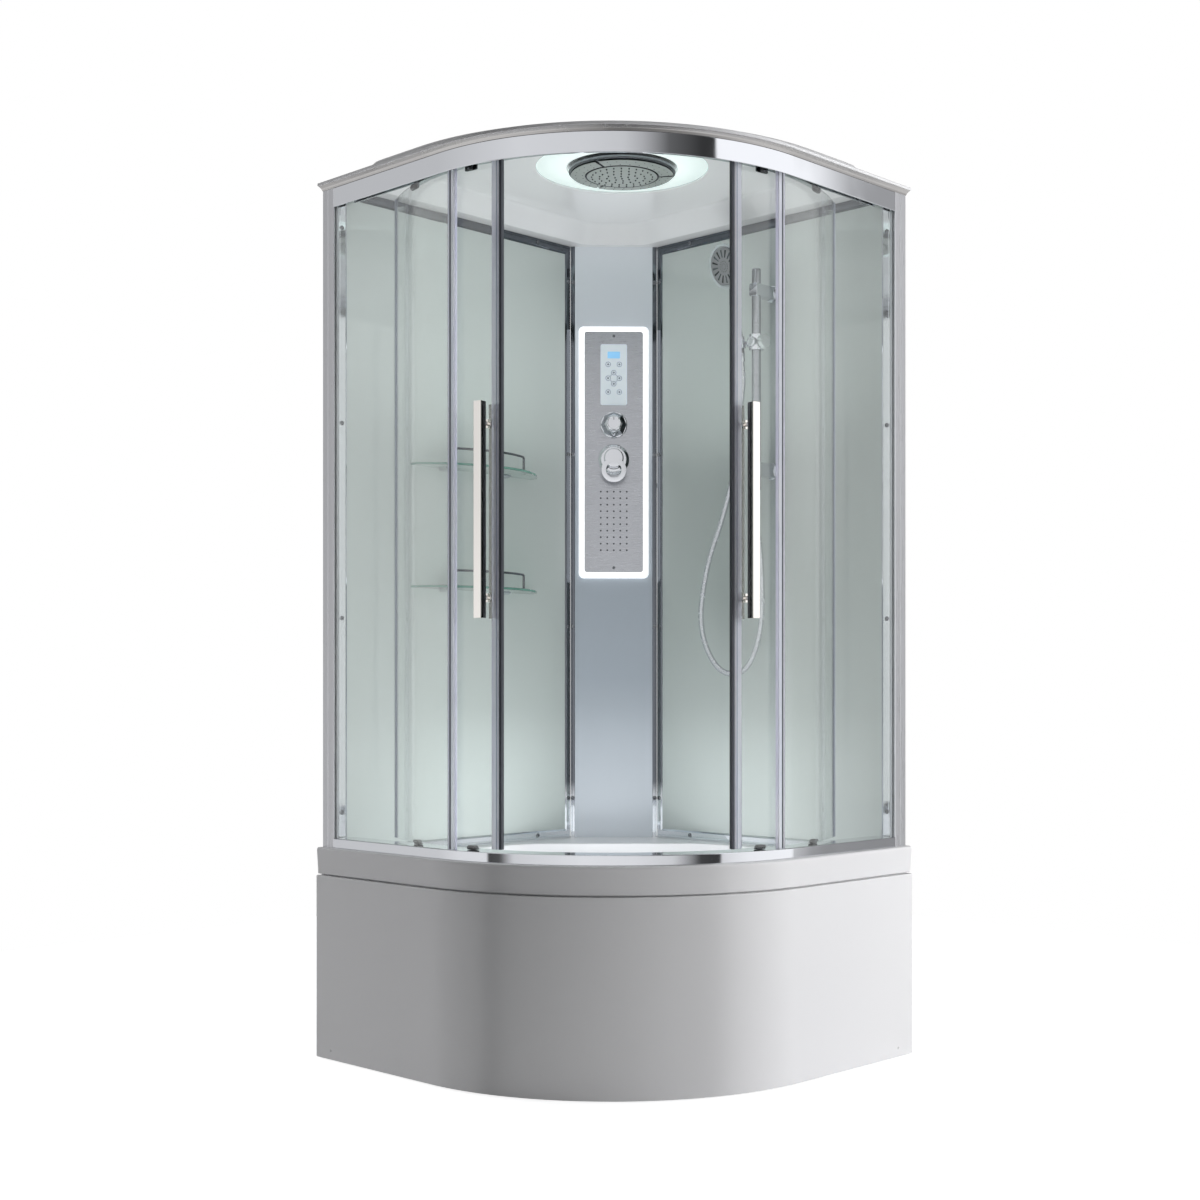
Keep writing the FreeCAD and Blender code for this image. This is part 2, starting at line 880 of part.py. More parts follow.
def wheel(angle):
    start = track_radius - wheel_width / 2
    bore = wheel_axle_radius + fit_gap
    before, middle, after = [share * wheel_width for share in wheel_groove_shares]
    profile = [
        (0, bore), (0, wheel_radius), (before, wheel_radius), (middle, wheel_radius - wheel_groove),
        (after, wheel_radius), (wheel_width, wheel_radius), (wheel_width, bore),
    ]
    return revolved(profile, polar(start, angle, wheel_level), outward(angle))


def make_doors():
    lead_end = door_lead_angle + door_profile_angle
    glass_start = door_lead_angle + door_glass_lap_angle
    glass_end = door_trail_angle - door_trail_profile_angle / 2
    glass = arc_band(door_inner_radius, door_outer_radius, glass_end, glass_start, door_foot, door_head)
    side = door_profile_side
    lead = arc_band(
        door_inner_radius - side, door_outer_radius + side, lead_end, door_lead_angle, door_foot, door_head
    )
    trail = arc_band(
        door_inner_radius - side, door_outer_radius + side / 2, door_trail_angle,
        door_trail_angle - door_trail_profile_angle, door_foot, door_head,
    )
    profiles = [lead.cut(glass), trail.cut(glass)]
    bars = []
    for radius in (handle_outer_radius, handle_inner_radius):
        bar = block(
            -handle_side / 2, handle_side / 2, -handle_side / 2, handle_side / 2, handle_foot, handle_top
        )
        bar.rotate(Vector(), at(0, 0, 1), -45 - handle_angle)
        bar.translate(polar(radius, handle_angle))
        bars.append(bar)
    reach = handle_outer_radius - handle_inner_radius
    for level in (handle_foot + handle_standoff_end, handle_top - handle_standoff_end):
        start = polar(handle_inner_radius, handle_angle, level)
        bars.append(rod(start, outward(handle_angle), handle_standoff_radius, reach))
    handle = joined(*bars)
    hangers = [piece for angle in hanger_angles for piece in hanger(angle)]
    wheels = [wheel(angle) for angle in hanger_angles]
    for side_name, turned in (("left", lambda shape: shape), ("right", twin)):
        keep(side_name + "_door_glass", turned(glass.cut(handle)))
        keep(side_name + "_door_profiles", group(*[turned(piece) for piece in profiles]))
        keep(side_name + "_door_handle", turned(handle))
        keep(side_name + "_door_hangers", group(*[turned(piece) for piece in hangers]))
        keep(side_name + "_front_wheel", turned(wheels[0]))
        keep(side_name + "_rear_wheel", turned(wheels[1]))


def wall_frame_limits():
    """The left wall frame's front and rear ends along Y."""
    return -half + wall_front_setback, half - column_offset


def make_walls():
    front, rear = wall_frame_limits()
    frame = block(-half, -half + wall_depth, front, rear, ledge_level, wall_top)
    opening = block(
        -half - overrun, -half + wall_depth + overrun, front + wall_stile, rear - wall_rear_stile,
        ledge_level + wall_member, wall_top - wall_member,
    )
    lap = wall_glass_lap
    face = -half + wall_depth - wall_glass_setback
    glass = block(
        face - wall_glass_thickness, face, front + wall_stile - lap, rear - wall_rear_stile + lap,
        ledge_level + wall_member - lap, wall_top - wall_member + lap,
    )
    frame = frame.cut(joined(opening, glass))
    keep("left_wall_glass", glass)
    keep("left_wall_frame", frame)
    feed_hole = rod(
        at(-half, half - feed_wall_gap, feed_level()), at(1, 0, 0), feed_radius + fit_gap, cabin_side / 2
    )
    outlet_hole = rod(at(bar_x, half, feed_level()), at(0, -1, 0), outlet_neck_radius, wall_depth + overrun)
    keep("right_wall_glass", twin(glass).cut(outlet_hole))
    keep("right_wall_frame", twin(frame).cut(feed_hole))


def make_column():
    inner = column_half_width - column_strip_width
    panel = block(-inner, inner, 0, column_panel_thickness, ledge_level, wall_top)
    hatch = block(
        -column_hatch_width / 2, column_hatch_width / 2, -overrun, column_panel_thickness + overrun,
        column_hatch_foot, column_hatch_top,
    )
    keep("corner_panel", on_column(panel.cut(hatch)))
    strip = block(-column_half_width, -inner, 0, column_strip_thickness, ledge_level, wall_top)
    other = strip.mirror(Vector(), Vector(1, 0, 0))
    keep("column_strips", group(on_column(strip), on_column(other)))


def make_control_panel():
    led = rounded_slab(led_width, led_foot, led_top, -led_depth, 0, led_corner_radius)
    ring = led_ring_width
    middle = block(
        -led_width / 2 + ring, led_width / 2 - ring, -led_depth - overrun, overrun,
        led_foot + ring, led_top - ring,
    )
    keep("led_frame", on_column(led.cut(middle)))
    plate = rounded_slab(plate_width, plate_foot, plate_top, plate_front, plate_back, plate_corner_radius)
    depth = plate_thickness + 2 * overrun
    holes = []
    for column in range(grille_columns):
        for row in range(grille_rows):
            x = (column - (grille_columns - 1) / 2) * grille_pitch
            z = grille_foot + row * grille_pitch
            holes.append(rod(at(x, plate_front - overrun, z), at(0, 1, 0), grille_hole_radius, depth))
    holes.append(rod(at(0, plate_front - overrun, mixer_level), at(0, 1, 0), escutcheon_bore, depth))
    spindle_hole = diverter_spindle_radius + touch_gap
    holes.append(rod(at(0, plate_front - overrun, diverter_level), at(0, 1, 0), spindle_hole, depth))
    keep("control_plate", on_column(plate.cut(group(*holes))))
    pad = block(
        -keypad_width / 2, keypad_width / 2, plate_front - keypad_thickness, plate_front,
        keypad_foot, keypad_top,
    )
    shifts = ((-1, 1), (0,), (-1, 1), (0,), (-1, 1))
    keys = []
    for level, row in zip(key_rows, shifts):
        for step in row:
            place = at(step * key_shift, plate_front - keypad_thickness, level)
            keys.append(rod(place, at(0, -1, 0), key_radius, key_proud))
    keep("keypad", on_column(joined(pad, *keys)))
    centre = grille_foot + (grille_rows - 1) / 2 * grille_pitch
    speaker = [
        (0, 0), (0, speaker_radius), (speaker_depth / 4, speaker_radius),
        (speaker_depth * speaker_waist_share, speaker_radius / 2), (speaker_depth, speaker_radius / 2),
        (speaker_depth, 0),
    ]
    place = at(0, plate_back, centre)
    keep("speaker", on_column(revolved(speaker, place, at(0, 1, 0))))


def make_diverter():
    base = plate_front - run_gap
    out = at(0, -1, 0)
    centre = at(0, base, diverter_level)
    flange = rod(centre, out, diverter_base_radius, diverter_base_height)
    skirt_points = []
    for radius, along in (
        (diverter_base_radius * diverter_foot_share, diverter_base_height),
        (diverter_cap_radius * diverter_top_share, diverter_base_height + diverter_skirt_height),
    ):
        ring = []
        for side in range(diverter_sides):
            turn = 2 * math.pi * (side + 1 / 2) / diverter_sides
            ring.append(centre + at(radius * math.cos(turn), -along, radius * math.sin(turn)))
        skirt_points.append(Part.Wire(polygon(ring)))
    skirt = Part.makeLoft(skirt_points, True, True)
    cap_start = centre + out * diverter_base_height
    cap = rod(cap_start, out, diverter_cap_radius, diverter_skirt_height + diverter_cap_height)
    spindle_length = run_gap + plate_thickness + spindle_seat_depth
    spindle = rod(centre, at(0, 1, 0), diverter_spindle_radius, spindle_length)
    keep("diverter_knob", on_column(joined(flange, skirt, cap, spindle)))


def make_mixer():
    out = at(0, -1, 0)
    centre = at(0, plate_front, mixer_level)
    profile = [
        (0, escutcheon_bore), (0, escutcheon_radius), (escutcheon_height / 3, escutcheon_radius),
        (escutcheon_height, escutcheon_radius * escutcheon_face_share), (escutcheon_height, escutcheon_bore),
    ]
    keep("mixer_escutcheon", on_column(revolved(profile, centre, out)))
    seat = centre + out * (escutcheon_height / 3)
    flange = rod(seat, out, mixer_flange_radius, mixer_flange_height)
    neck = rod(seat, out, mixer_neck_radius, escutcheon_height * 2 / 3 + mixer_neck_height)
    stem_length = escutcheon_height / 3 + plate_thickness + spindle_seat_depth
    stem = rod(seat, at(0, 1, 0), mixer_stem_radius, stem_length)
    pin_centre = centre + out * (escutcheon_height + mixer_pin_height)
    pin = rod(pin_centre - at(mixer_pin_reach, 0, 0), at(1, 0, 0), mixer_pin_radius, 2 * mixer_pin_reach)
    keep("mixer_cartridge", on_column(joined(flange, neck, stem, pin)))
    cap_front = pin_centre + out * mixer_cap_over_pin
    cap = rod(cap_front, at(0, 1, 0), mixer_cap_radius, mixer_cap_depth)
    hollow = rod(
        cap_front + at(0, mixer_cap_skin, 0), at(0, 1, 0), mixer_cap_bore, mixer_cap_depth
    )
    cap = cap.cut(hollow)
    ears = []
    ear_start = mixer_neck_radius + 2 * run_gap
    for direction in (1, -1):
        start = pin_centre + at(direction * ear_start, 0, 0)
        ears.append(rod(start, at(direction, 0, 0), mixer_ear_radius, mixer_cap_bore + run_gap - ear_start))
    ring_centre = cap_front + at(0, mixer_cap_skin - lever_thickness, -lever_drop) + at(0, run_gap, 0)
    ring = rod(ring_centre, at(0, 1, 0), lever_outer_radius, lever_thickness)
    hole_start = ring_centre - at(0, overrun, 0)
    ring = ring.cut(rod(hole_start, at(0, 1, 0), lever_inner_radius, lever_thickness + 2 * overrun))
    face_start = cap_front + out * (lever_thickness - mixer_cap_skin)
    face = rod(face_start, at(0, 1, 0), mixer_cap_radius, lever_thickness)
    lever = joined(cap, ring, face, *ears)
    pin_hole = rod(
        pin_centre - at(mixer_pin_reach + fit_gap, 0, 0), at(1, 0, 0), mixer_pin_radius + fit_gap,
        2 * (mixer_pin_reach + fit_gap),
    )
    keep("mixer_lever", on_column(lever.cut(pin_hole)))


def feed_level():
    """The hand shower's feed runs at the height of the lower bracket's middle."""
    return (lower_bracket_foot + lower_bracket_top) / 2


def make_valve():
    wide = valve_width / 2
    back = plate_back + valve_depth
    body = block(-wide, wide, plate_back, back, valve_foot, valve_top)
    out = at(0, -1, 0)
    seat = plate_back + spindle_seat_depth + touch_gap
    stem_bore = rod(at(0, seat, mixer_level), out, mixer_stem_radius + fit_gap, valve_depth)
    spindle_bore = rod(at(0, seat, diverter_level), out, diverter_spindle_radius + fit_gap, valve_depth)
    inlets = [
        rod(at(x, back - overrun, inlet_level), at(0, 1, 0), inlet_radius, inlet_length + overrun)
        for x in (-inlet_spread, inlet_spread)
    ]
    keep("control_valve", on_column(joined(body, *inlets).cut(joined(stem_bore, spindle_bore))))


def make_pipes():
    middle = plate_back + valve_depth / 2
    top = total_height - riser_radius
    nut_top = roof_top + head_nut_height
    shift_level = valve_top + riser_start_run
    riser = pipe(
        [
            column_point(0, middle, valve_top),
            column_point(0, middle, shift_level),
            column_point(0, riser_setback, shift_level + riser_setback - middle),
            column_point(0, riser_setback, top),
            at(head_shift, head_shift, top),
            at(head_shift, head_shift, nut_top),
        ],
        riser_radius,
        riser_bend_radius,
    )
    port = plate_back + feed_port_setback
    side = column_point(valve_width / 2 + feed_side_run, port, feed_level())
    feed = pipe(
        [
            column_point(valve_width / 2, port, feed_level()),
            side,
            at(side.x, half - feed_wall_gap, feed_level()),
            at(bar_x + feed_end_run, half - feed_wall_gap, feed_level()),
        ],
        feed_radius,
        feed_bend_radius,
    )
    keep("water_pipes", group(riser, feed))
    return feed


def make_slide_bar(feed):
    up = at(0, 0, 1)
    bar = rod(at(bar_x, bar_y, bar_foot), up, bar_radius, bar_top - bar_foot)
    keep("slide_bar", bar)
    glass_face = half - wall_depth + wall_glass_setback
    wide = bracket_block_width / 2
    brackets = []
    for foot, top in ((upper_bracket_foot, upper_bracket_top), (lower_bracket_foot, lower_bracket_top)):
        arm = block(bar_x - wide, bar_x + wide, bar_y - wide, glass_face - fit_gap, foot, top)
        flange_middle = at(bar_x, glass_face, (foot + top) / 2)
        flange = rod(flange_middle, at(0, -1, 0), bracket_flange_radius, bracket_flange_thickness)
        brackets.append(joined(arm, flange).cut(bar))
    neck_start = glass_face - bracket_flange_thickness
    neck_length = half - feed_wall_gap - neck_start
    neck = rod(at(bar_x, neck_start, feed_level()), at(0, 1, 0), outlet_neck_radius, neck_length)
    brackets[1] = joined(brackets[1], neck.cut(feed))
    nut = rod(at(bar_x, bar_y, bar_foot), at(0, 0, -1), outlet_nut_radius, outlet_nut_length)
    keep("bar_brackets", group(*brackets, nut))


def handset_face():
    """The middle of the spray face, and the way it looks."""
    turn = math.radians(handset_face_turn)
    nod = math.radians(handset_face_nod)
    normal = at(-math.sin(turn) * math.cos(nod), -math.cos(turn) * math.cos(nod), -math.sin(nod))
    return at(handset_face_x, handset_face_y, handset_face_z), normal


def handset_axis():
    """The handle's tail, its direction towards the head, and its length."""
    centre, normal = handset_face()
    tail = at(holder_x, bar_y - holder_forward, slider_level - handset_tail_drop)
    along = centre - normal * handset_axis_setback - tail
    length = along.Length
    return tail, along.normalize(), length


def handle_cone(clearance):
    tail, along, length = handset_axis()
    return Part.makeCone(
        handset_tail_radius + clearance, handset_neck_radius + clearance, length, tail, along
    )


def make_slider():
    up = at(0, 0, 1)
    centre = at(bar_x, bar_y, slider_level)
    foot = centre - up * (slider_height / 2)
    sleeve = rod(foot, up, slider_radius, slider_height)
    button = rod(centre, at(0, -1, 0), slider_button_radius, slider_button_reach)
    pin = rod(centre, at(-1, 0, 0), pivot_pin_radius, slider_radius + pivot_pin_reach)
    bore = rod(foot - up * overrun, up, bar_radius + run_gap, slider_height + 2 * overrun)
    seat_start = centre + at(slider_radius - clamp_seat_depth - touch_gap, 0, 0)
    stem_bore = rod(seat_start, at(1, 0, 0), clamp_stem_radius + fit_gap, clamp_seat_depth + overrun)
    keep("slider_body", joined(sleeve, button, pin).cut(joined(bore, stem_bore)))
    knob_start = centre + at(slider_radius + run_gap, 0, 0)
    knob = rod(knob_start, at(1, 0, 0), clamp_knob_radius, clamp_knob_width)
    grooves = []
    for lobe in range(clamp_knob_lobes):
        turn = 2 * math.pi * lobe / clamp_knob_lobes
        offset = at(-overrun, clamp_knob_radius * math.cos(turn), clamp_knob_radius * math.sin(turn))
        groove_length = clamp_knob_width + 2 * overrun
        grooves.append(rod(knob_start + offset, at(1, 0, 0), clamp_lobe_radius, groove_length))
    stem_start = knob_start + at(overrun, 0, 0)
    stem = rod(stem_start, at(-1, 0, 0), clamp_stem_radius, clamp_seat_depth + run_gap + overrun)
    keep("slider_knob", joined(knob.cut(group(*grooves)), stem))


def make_holder():
    centre = at(bar_x, bar_y, slider_level)
    hub_start = centre - at(slider_radius + run_gap, 0, 0)
    hub = rod(hub_start, at(-1, 0, 0), holder_hub_radius, hub_start.x - holder_x - fit_gap)
    tail, along, length = handset_axis()
    ring_middle = tail + along * handset_tail_drop
    ring = rod(ring_middle - along * (holder_height / 2), along, holder_radius, holder_height)
    slot = block(
        ring_middle.x - holder_slot / 2, ring_middle.x + holder_slot / 2, ring_middle.y - 2 * holder_radius,
        ring_middle.y, slider_level - holder_height, slider_level + holder_height,
    )
    pin_hole = rod(
        centre, at(-1, 0, 0), pivot_pin_radius + fit_gap, slider_radius + pivot_pin_reach + touch_gap
    )
    holder = joined(hub, ring.cut(slot)).cut(handle_cone(holder_ring_clearance)).cut(pin_hole)
    keep("shower_holder", group(*sorted(holder.Solids, key=lambda solid: -solid.Volume)[:1]))


def make_handset():
    tail, along, length = handset_axis()
    centre, normal = handset_face()
    handle = handle_cone(0)
    nut_start = tail + along * fit_gap
    nut = rod(nut_start, along * -1, handset_tail_radius - touch_gap, handset_nut_length + fit_gap)
    profile = [(-handset_head_depth * deep, handset_head_radius * wide) for deep, wide in handset_head_shares]
    head = revolved(profile, centre, normal)
    front = rod(centre, normal, 2 * handset_head_radius, handset_head_depth)
    boss_bore = rod(
        centre, normal * -1, spray_boss_radius + fit_gap, spray_boss_length + touch_gap
    )
    keep("shower_handset", joined(handle, nut, head).cut(front).cut(boss_bore))
    dial_start = centre + normal * run_gap
    dial = rod(dial_start, normal, spray_dial_radius, spray_dial_thickness)
    boss = rod(dial_start + normal * touch_gap, normal * -1, spray_boss_radius, spray_boss_length + run_gap)
    keep("spray_dial", joined(dial, boss))


def make_hose():
    total = 0
    radii = []

    def corner_radius(run_in, run_out, turn):
        radius = hose_bend_share * min(run_in, run_out) / math.tan(turn / 2)
        radii.append(round(radius))
        return radius

    for name, route in (
        ("hose_top", hose_top_route), ("hose_mid", hose_mid_route),
        ("hose_drop", hose_drop_route), ("hose_rise", hose_rise_route),
    ):
        tube, length = swept([at(*point) for point in route], hose_radius, corner_radius)
        total += length
        keep(name, tube)
    print("hose length", round(total), "bend radii", radii)


def shelf_arc(inset):
    """Three points of the shelf's curved front edge, drawn in by inset."""
    face = -half + wall_depth - wall_glass_setback
    end = shelf_length / 2
    return (
        at(face + shelf_end_depth - inset, shelf_centre_y - end),
        at(face + shelf_reach - inset, shelf_centre_y),
        at(face + shelf_end_depth - inset, shelf_centre_y + end),
    )


def make_shelves():
    face = -half + wall_depth - wall_glass_setback
    low, middle, high = shelf_arc(0)
    edges = [
        Part.Arc(low, middle, high).toShape(),
        line(high, at(face, high.y)),
        line(at(face, high.y), at(face, low.y)),
        line(at(face, low.y), low),
    ]
    curve = Part.Arc(*shelf_arc(shelf_rail_inset)).toShape()
    span = curve.LastParameter - curve.FirstParameter
    margin = span * (1 - shelf_rail_span_share) / 2
    rail_curve = curve.Curve.toShape(curve.FirstParameter + margin, curve.LastParameter - margin)
    ends = [vertex.Point for vertex in rail_curve.Vertexes]
    glasses = []
    fittings = []
    for level in shelf_levels:
        glass = prism(edges, level, level + shelf_thickness)
        glasses.append(glass)
        for shift in (-shelf_clamp_shift, shelf_clamp_shift):
            y = shelf_centre_y + shift
            centre = level + shelf_thickness / 2
            clamp = block(
                face, face + shelf_clamp_reach, y - shelf_clamp_width / 2, y + shelf_clamp_width / 2,
                centre - shelf_clamp_height / 2, centre + shelf_clamp_height / 2,
            )
            fittings.append(clamp.cut(glass))
        top = level + shelf_thickness
        lifted = rail_curve.copy()
        lifted.translate(at(0, 0, top + shelf_rail_height))
        start = ends[0] + at(0, 0, top + shelf_rail_height)
        circle = Part.Wire(Part.makeCircle(shelf_rail_radius, start, lifted.tangentAt(lifted.FirstParameter)))
        bar = Part.Wire(lifted).makePipeShell([circle], True, False)
        pieces = [bar]
        for end in ends:
            base = end + at(0, 0, top)
            pieces.append(rod(base, at(0, 0, 1), shelf_rail_radius, shelf_rail_height))
            pieces.append(Part.makeSphere(shelf_rail_radius, base + at(0, 0, shelf_rail_height)))
            pieces.append(rod(base, at(0, 0, 1), shelf_button_radius, shelf_button_height))
        fittings.append(joined(*pieces))
    keep("shelf_glasses", group(*glasses))
    keep("shelf_fittings", group(*fittings))


def cap(place, direction):
    """A turned screw cap standing on a face."""
    profile = [
        (0, 0), (0, cap_radius), (cap_proud / 2, cap_radius), (cap_proud, cap_radius / 2), (cap_proud, 0)
    ]
    return revolved(profile, place, direction)


def make_screw_caps():
    front, rear = wall_frame_limits()
    face = -half + wall_depth
    into = at(1, 0, 0)
    caps = []
    for level in cap_rows:
        caps.append(cap(at(face, front + wall_stile / 2, level), into))
        caps.append(cap(at(face, rear - wall_rear_stile / 2, level), into))
        strip = column_half_width - column_strip_width / 2
        caps.append(cap(column_point(-strip, 0, level), column_point(0, -1, 0) - column_point(0, 0, 0)))
    for share in member_cap_shares:
        y = rear - (rear - front) * share
        caps.append(cap(at(face, y, wall_top - wall_member / 2), into))
        caps.append(cap(at(face, y, ledge_level + wall_member / 2), into))
    caps.append(rod(
        at(-half + apron_screw_setback, -half, apron_screw_level), at(0, 1, 0), cap_radius, apron_thickness
    ))
    plate_caps = []
    for level in (plate_foot + plate_screw_inset, plate_top - plate_screw_inset):
        screw = rod(at(0, plate_front, level), at(0, -1, 0), plate_screw_radius, plate_screw_proud)
        plate_caps.append(on_column(screw))
    keep("screw_caps", group(*caps, *[twin(piece) for piece in caps], *plate_caps))
    apron = parts["apron_panel"]
    keep("apron_panel", apron.cut(joined(caps[-1], twin(caps[-1]))))


def make_overhead_shower(centre):
    up = at(0, 0, 1)
    start = centre + at(0, 0, head_level)
    neck_top = roof_top + head_nut_height / 2 - head_level
    edge = -head_crown * nozzle_edge_share
    plate_edge = nozzle_plate_thickness + edge
    profile = [
        (0, head_radius - head_rim / 3), (head_rim / 3, head_radius), (head_rim, head_radius),
        (head_back, nozzle_plate_radius), (head_back, head_neck_radius), (neck_top, head_neck_radius),
        (neck_top, 0), (nozzle_plate_thickness, 0), (plate_edge, nozzle_plate_radius),
        (edge, nozzle_plate_radius + run_gap),
    ]
    nut = rod(centre + at(0, 0, roof_top), up, head_nut_radius, head_nut_height)
    keep("overhead_shower", joined(revolved(profile, start, up), nut))
    plate_profile = [
        (nozzle_plate_thickness, 0), (plate_edge, nozzle_plate_radius), (edge, nozzle_plate_radius),
        (-head_crown * nozzle_half_share, nozzle_plate_radius / 2), (-head_crown, 0),
    ]
    keep("nozzle_plate", revolved(plate_profile, start, up))


def make_roof():
    lip = plan_loft((lip_inset + lip_taper, 0), (lip_inset, 0), top_rail_top, lip_top)
    crown_inset = dome_inset + dome_slope
    dome = plan_loft((dome_inset, dome_inset), (crown_inset, crown_inset), lip_top - overrun, roof_top)
    canopy = joined(lip, dome)
    behind_rail = plan_prism(rail_inset + rail_depth, -overrun, top_rail_top - overrun, wall_top)
    canopy = canopy.cut(joined(behind_rail, wall_slots(top_rail_top - overrun, wall_top)))
    ceiling = plan_loft(
        (ceiling_front_inset, ceiling_wall_inset),
        (ceiling_front_inset + ceiling_slope, ceiling_wall_inset + ceiling_slope), wall_top, ceiling_level,
    )
    centre = at(head_shift, head_shift)
    up = at(0, 0, 1)
    recess = rod(centre + at(0, 0, ceiling_level - overrun), up, light_radius, light_recess + overrun)
    neck_hole = rod(centre + at(0, 0, ceiling_level), up, head_neck_radius, roof_top)
    riser_hole = rod(column_point(0, riser_setback, top_rail_top), up, riser_radius + touch_gap, roof_top)
    keep("canopy", canopy.cut(ceiling).cut(joined(recess, neck_hole, riser_hole)))
    light_profile = [
        (0, light_inner_radius), (light_thickness, light_radius), (light_recess, light_radius),
        (light_recess, light_inner_radius),
    ]
    keep("ceiling_light", revolved(light_profile, centre + at(0, 0, ceiling_level), up))
    make_overhead_shower(centre)
    box = block(
        power_box_x, power_box_x + power_box_width, power_box_y, power_box_y + power_box_depth,
        roof_top, roof_top + power_box_height,
    )
    corners = [edge for edge in box.Edges if edge.BoundBox.ZLength > power_box_height / 2]
    keep("power_box", box.makeFillet(power_box_round, corners))


def main():
    make_tray()
    make_apron()
    make_frame()
    make_drain()
    make_rails()
    make_posts_and_fixed_glass()
    make_doors()
    make_walls()
    make_column()
    make_control_panel()
    make_diverter()
    make_mixer()
    make_valve()
    feed = make_pipes()
    make_roof()
    make_slide_bar(feed)
    make_slider()
    make_holder()
    make_handset()
    make_hose()
    make_shelves()
    make_screw_caps()
    os.makedirs("parts", exist_ok=True)
    for name, shape in parts.items():
        shape.exportStep("parts/" + name + ".step")


main()
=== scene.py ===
"""The finished look of a quadrant shower cabin, built around its fixed frame. Sizes are in millimetres."""
import math

import bmesh
import bpy
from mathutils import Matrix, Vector


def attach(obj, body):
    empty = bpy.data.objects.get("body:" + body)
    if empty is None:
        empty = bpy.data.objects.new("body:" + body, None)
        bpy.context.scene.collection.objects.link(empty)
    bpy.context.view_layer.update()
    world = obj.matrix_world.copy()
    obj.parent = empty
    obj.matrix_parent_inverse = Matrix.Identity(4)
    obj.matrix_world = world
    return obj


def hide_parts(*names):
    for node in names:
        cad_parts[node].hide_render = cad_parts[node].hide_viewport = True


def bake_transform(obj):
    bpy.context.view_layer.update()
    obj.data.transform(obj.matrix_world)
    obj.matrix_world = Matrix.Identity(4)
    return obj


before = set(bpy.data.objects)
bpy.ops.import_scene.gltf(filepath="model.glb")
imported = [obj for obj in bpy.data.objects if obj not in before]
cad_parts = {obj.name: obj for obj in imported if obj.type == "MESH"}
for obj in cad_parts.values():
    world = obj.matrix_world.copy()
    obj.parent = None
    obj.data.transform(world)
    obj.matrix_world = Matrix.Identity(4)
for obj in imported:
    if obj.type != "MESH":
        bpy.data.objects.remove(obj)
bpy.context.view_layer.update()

MILLIMETRE = 0.001
UP = Vector((0, 0, 1))

# Plan of the cabin, as its frame has it
HALF = 500
FRONT_RADIUS = 575
ARC_X, ARC_Y = HALF - FRONT_RADIUS, FRONT_RADIUS - HALF
ARC_STEPS = 72
WALL_DEPTH = 30
COLUMN_X, COLUMN_Y = -388, 388

# Levels
APRON_FOOT, APRON_TOP = 3, 430
RIM_FOOT, LEDGE, RIM_TOP = 433, 471, 495
LOW_RAIL_TOP = 517
TOP_RAIL_FOOT, TOP_RAIL_TOP = 2000, 2045
PANE_TOP = 2042
WALL_TOP, LIP_EDGE, LIP_TOP, ROOF_TOP = 2056, 2061, 2067, 2115
CEILING = 2099
DOOR_FOOT, DOOR_HEAD = 522, 2008


def outward(angle):
    """The way out of the front's arc, angle degrees off the diagonal towards the left wall."""
    turn = math.radians(-45 - angle)
    return Vector((math.cos(turn), math.sin(turn), 0))


def polar(radius, angle, z=0.0):
    """A point about the arc's centre."""
    turn = math.radians(-45 - angle)
    return Vector((ARC_X + radius * math.cos(turn), ARC_Y + radius * math.sin(turn), z))


def on_column(x, y, z):
    """A point drawn with X along the column's width and -Y out of its face."""
    turn = math.radians(45)
    return Vector((
        COLUMN_X + x * math.cos(turn) - y * math.sin(turn),
        COLUMN_Y + x * math.sin(turn) + y * math.cos(turn),
        z,
    ))


COLUMN_OUT = on_column(0, -1, 0) - on_column(0, 0, 0)
COLUMN_SIDE = on_column(1, 0, 0) - on_column(0, 0, 0)


def upright(x, y, z):
    """A point of an outline that is drawn in plan and stood up."""
    return Vector((x, y, z))


def mirrored(point):
    """The same place on the other side of the cabin's diagonal."""
    return Vector((-point.y, -point.x, point.z))


def circle_turns(count, offset=0.0):
    return [2 * math.pi * (step + offset) / count for step in range(count)]


MERGE = 0.02
# How squarely a face must turn towards flank to get the painted dark reflection
FLANK_SHARE = 0.45


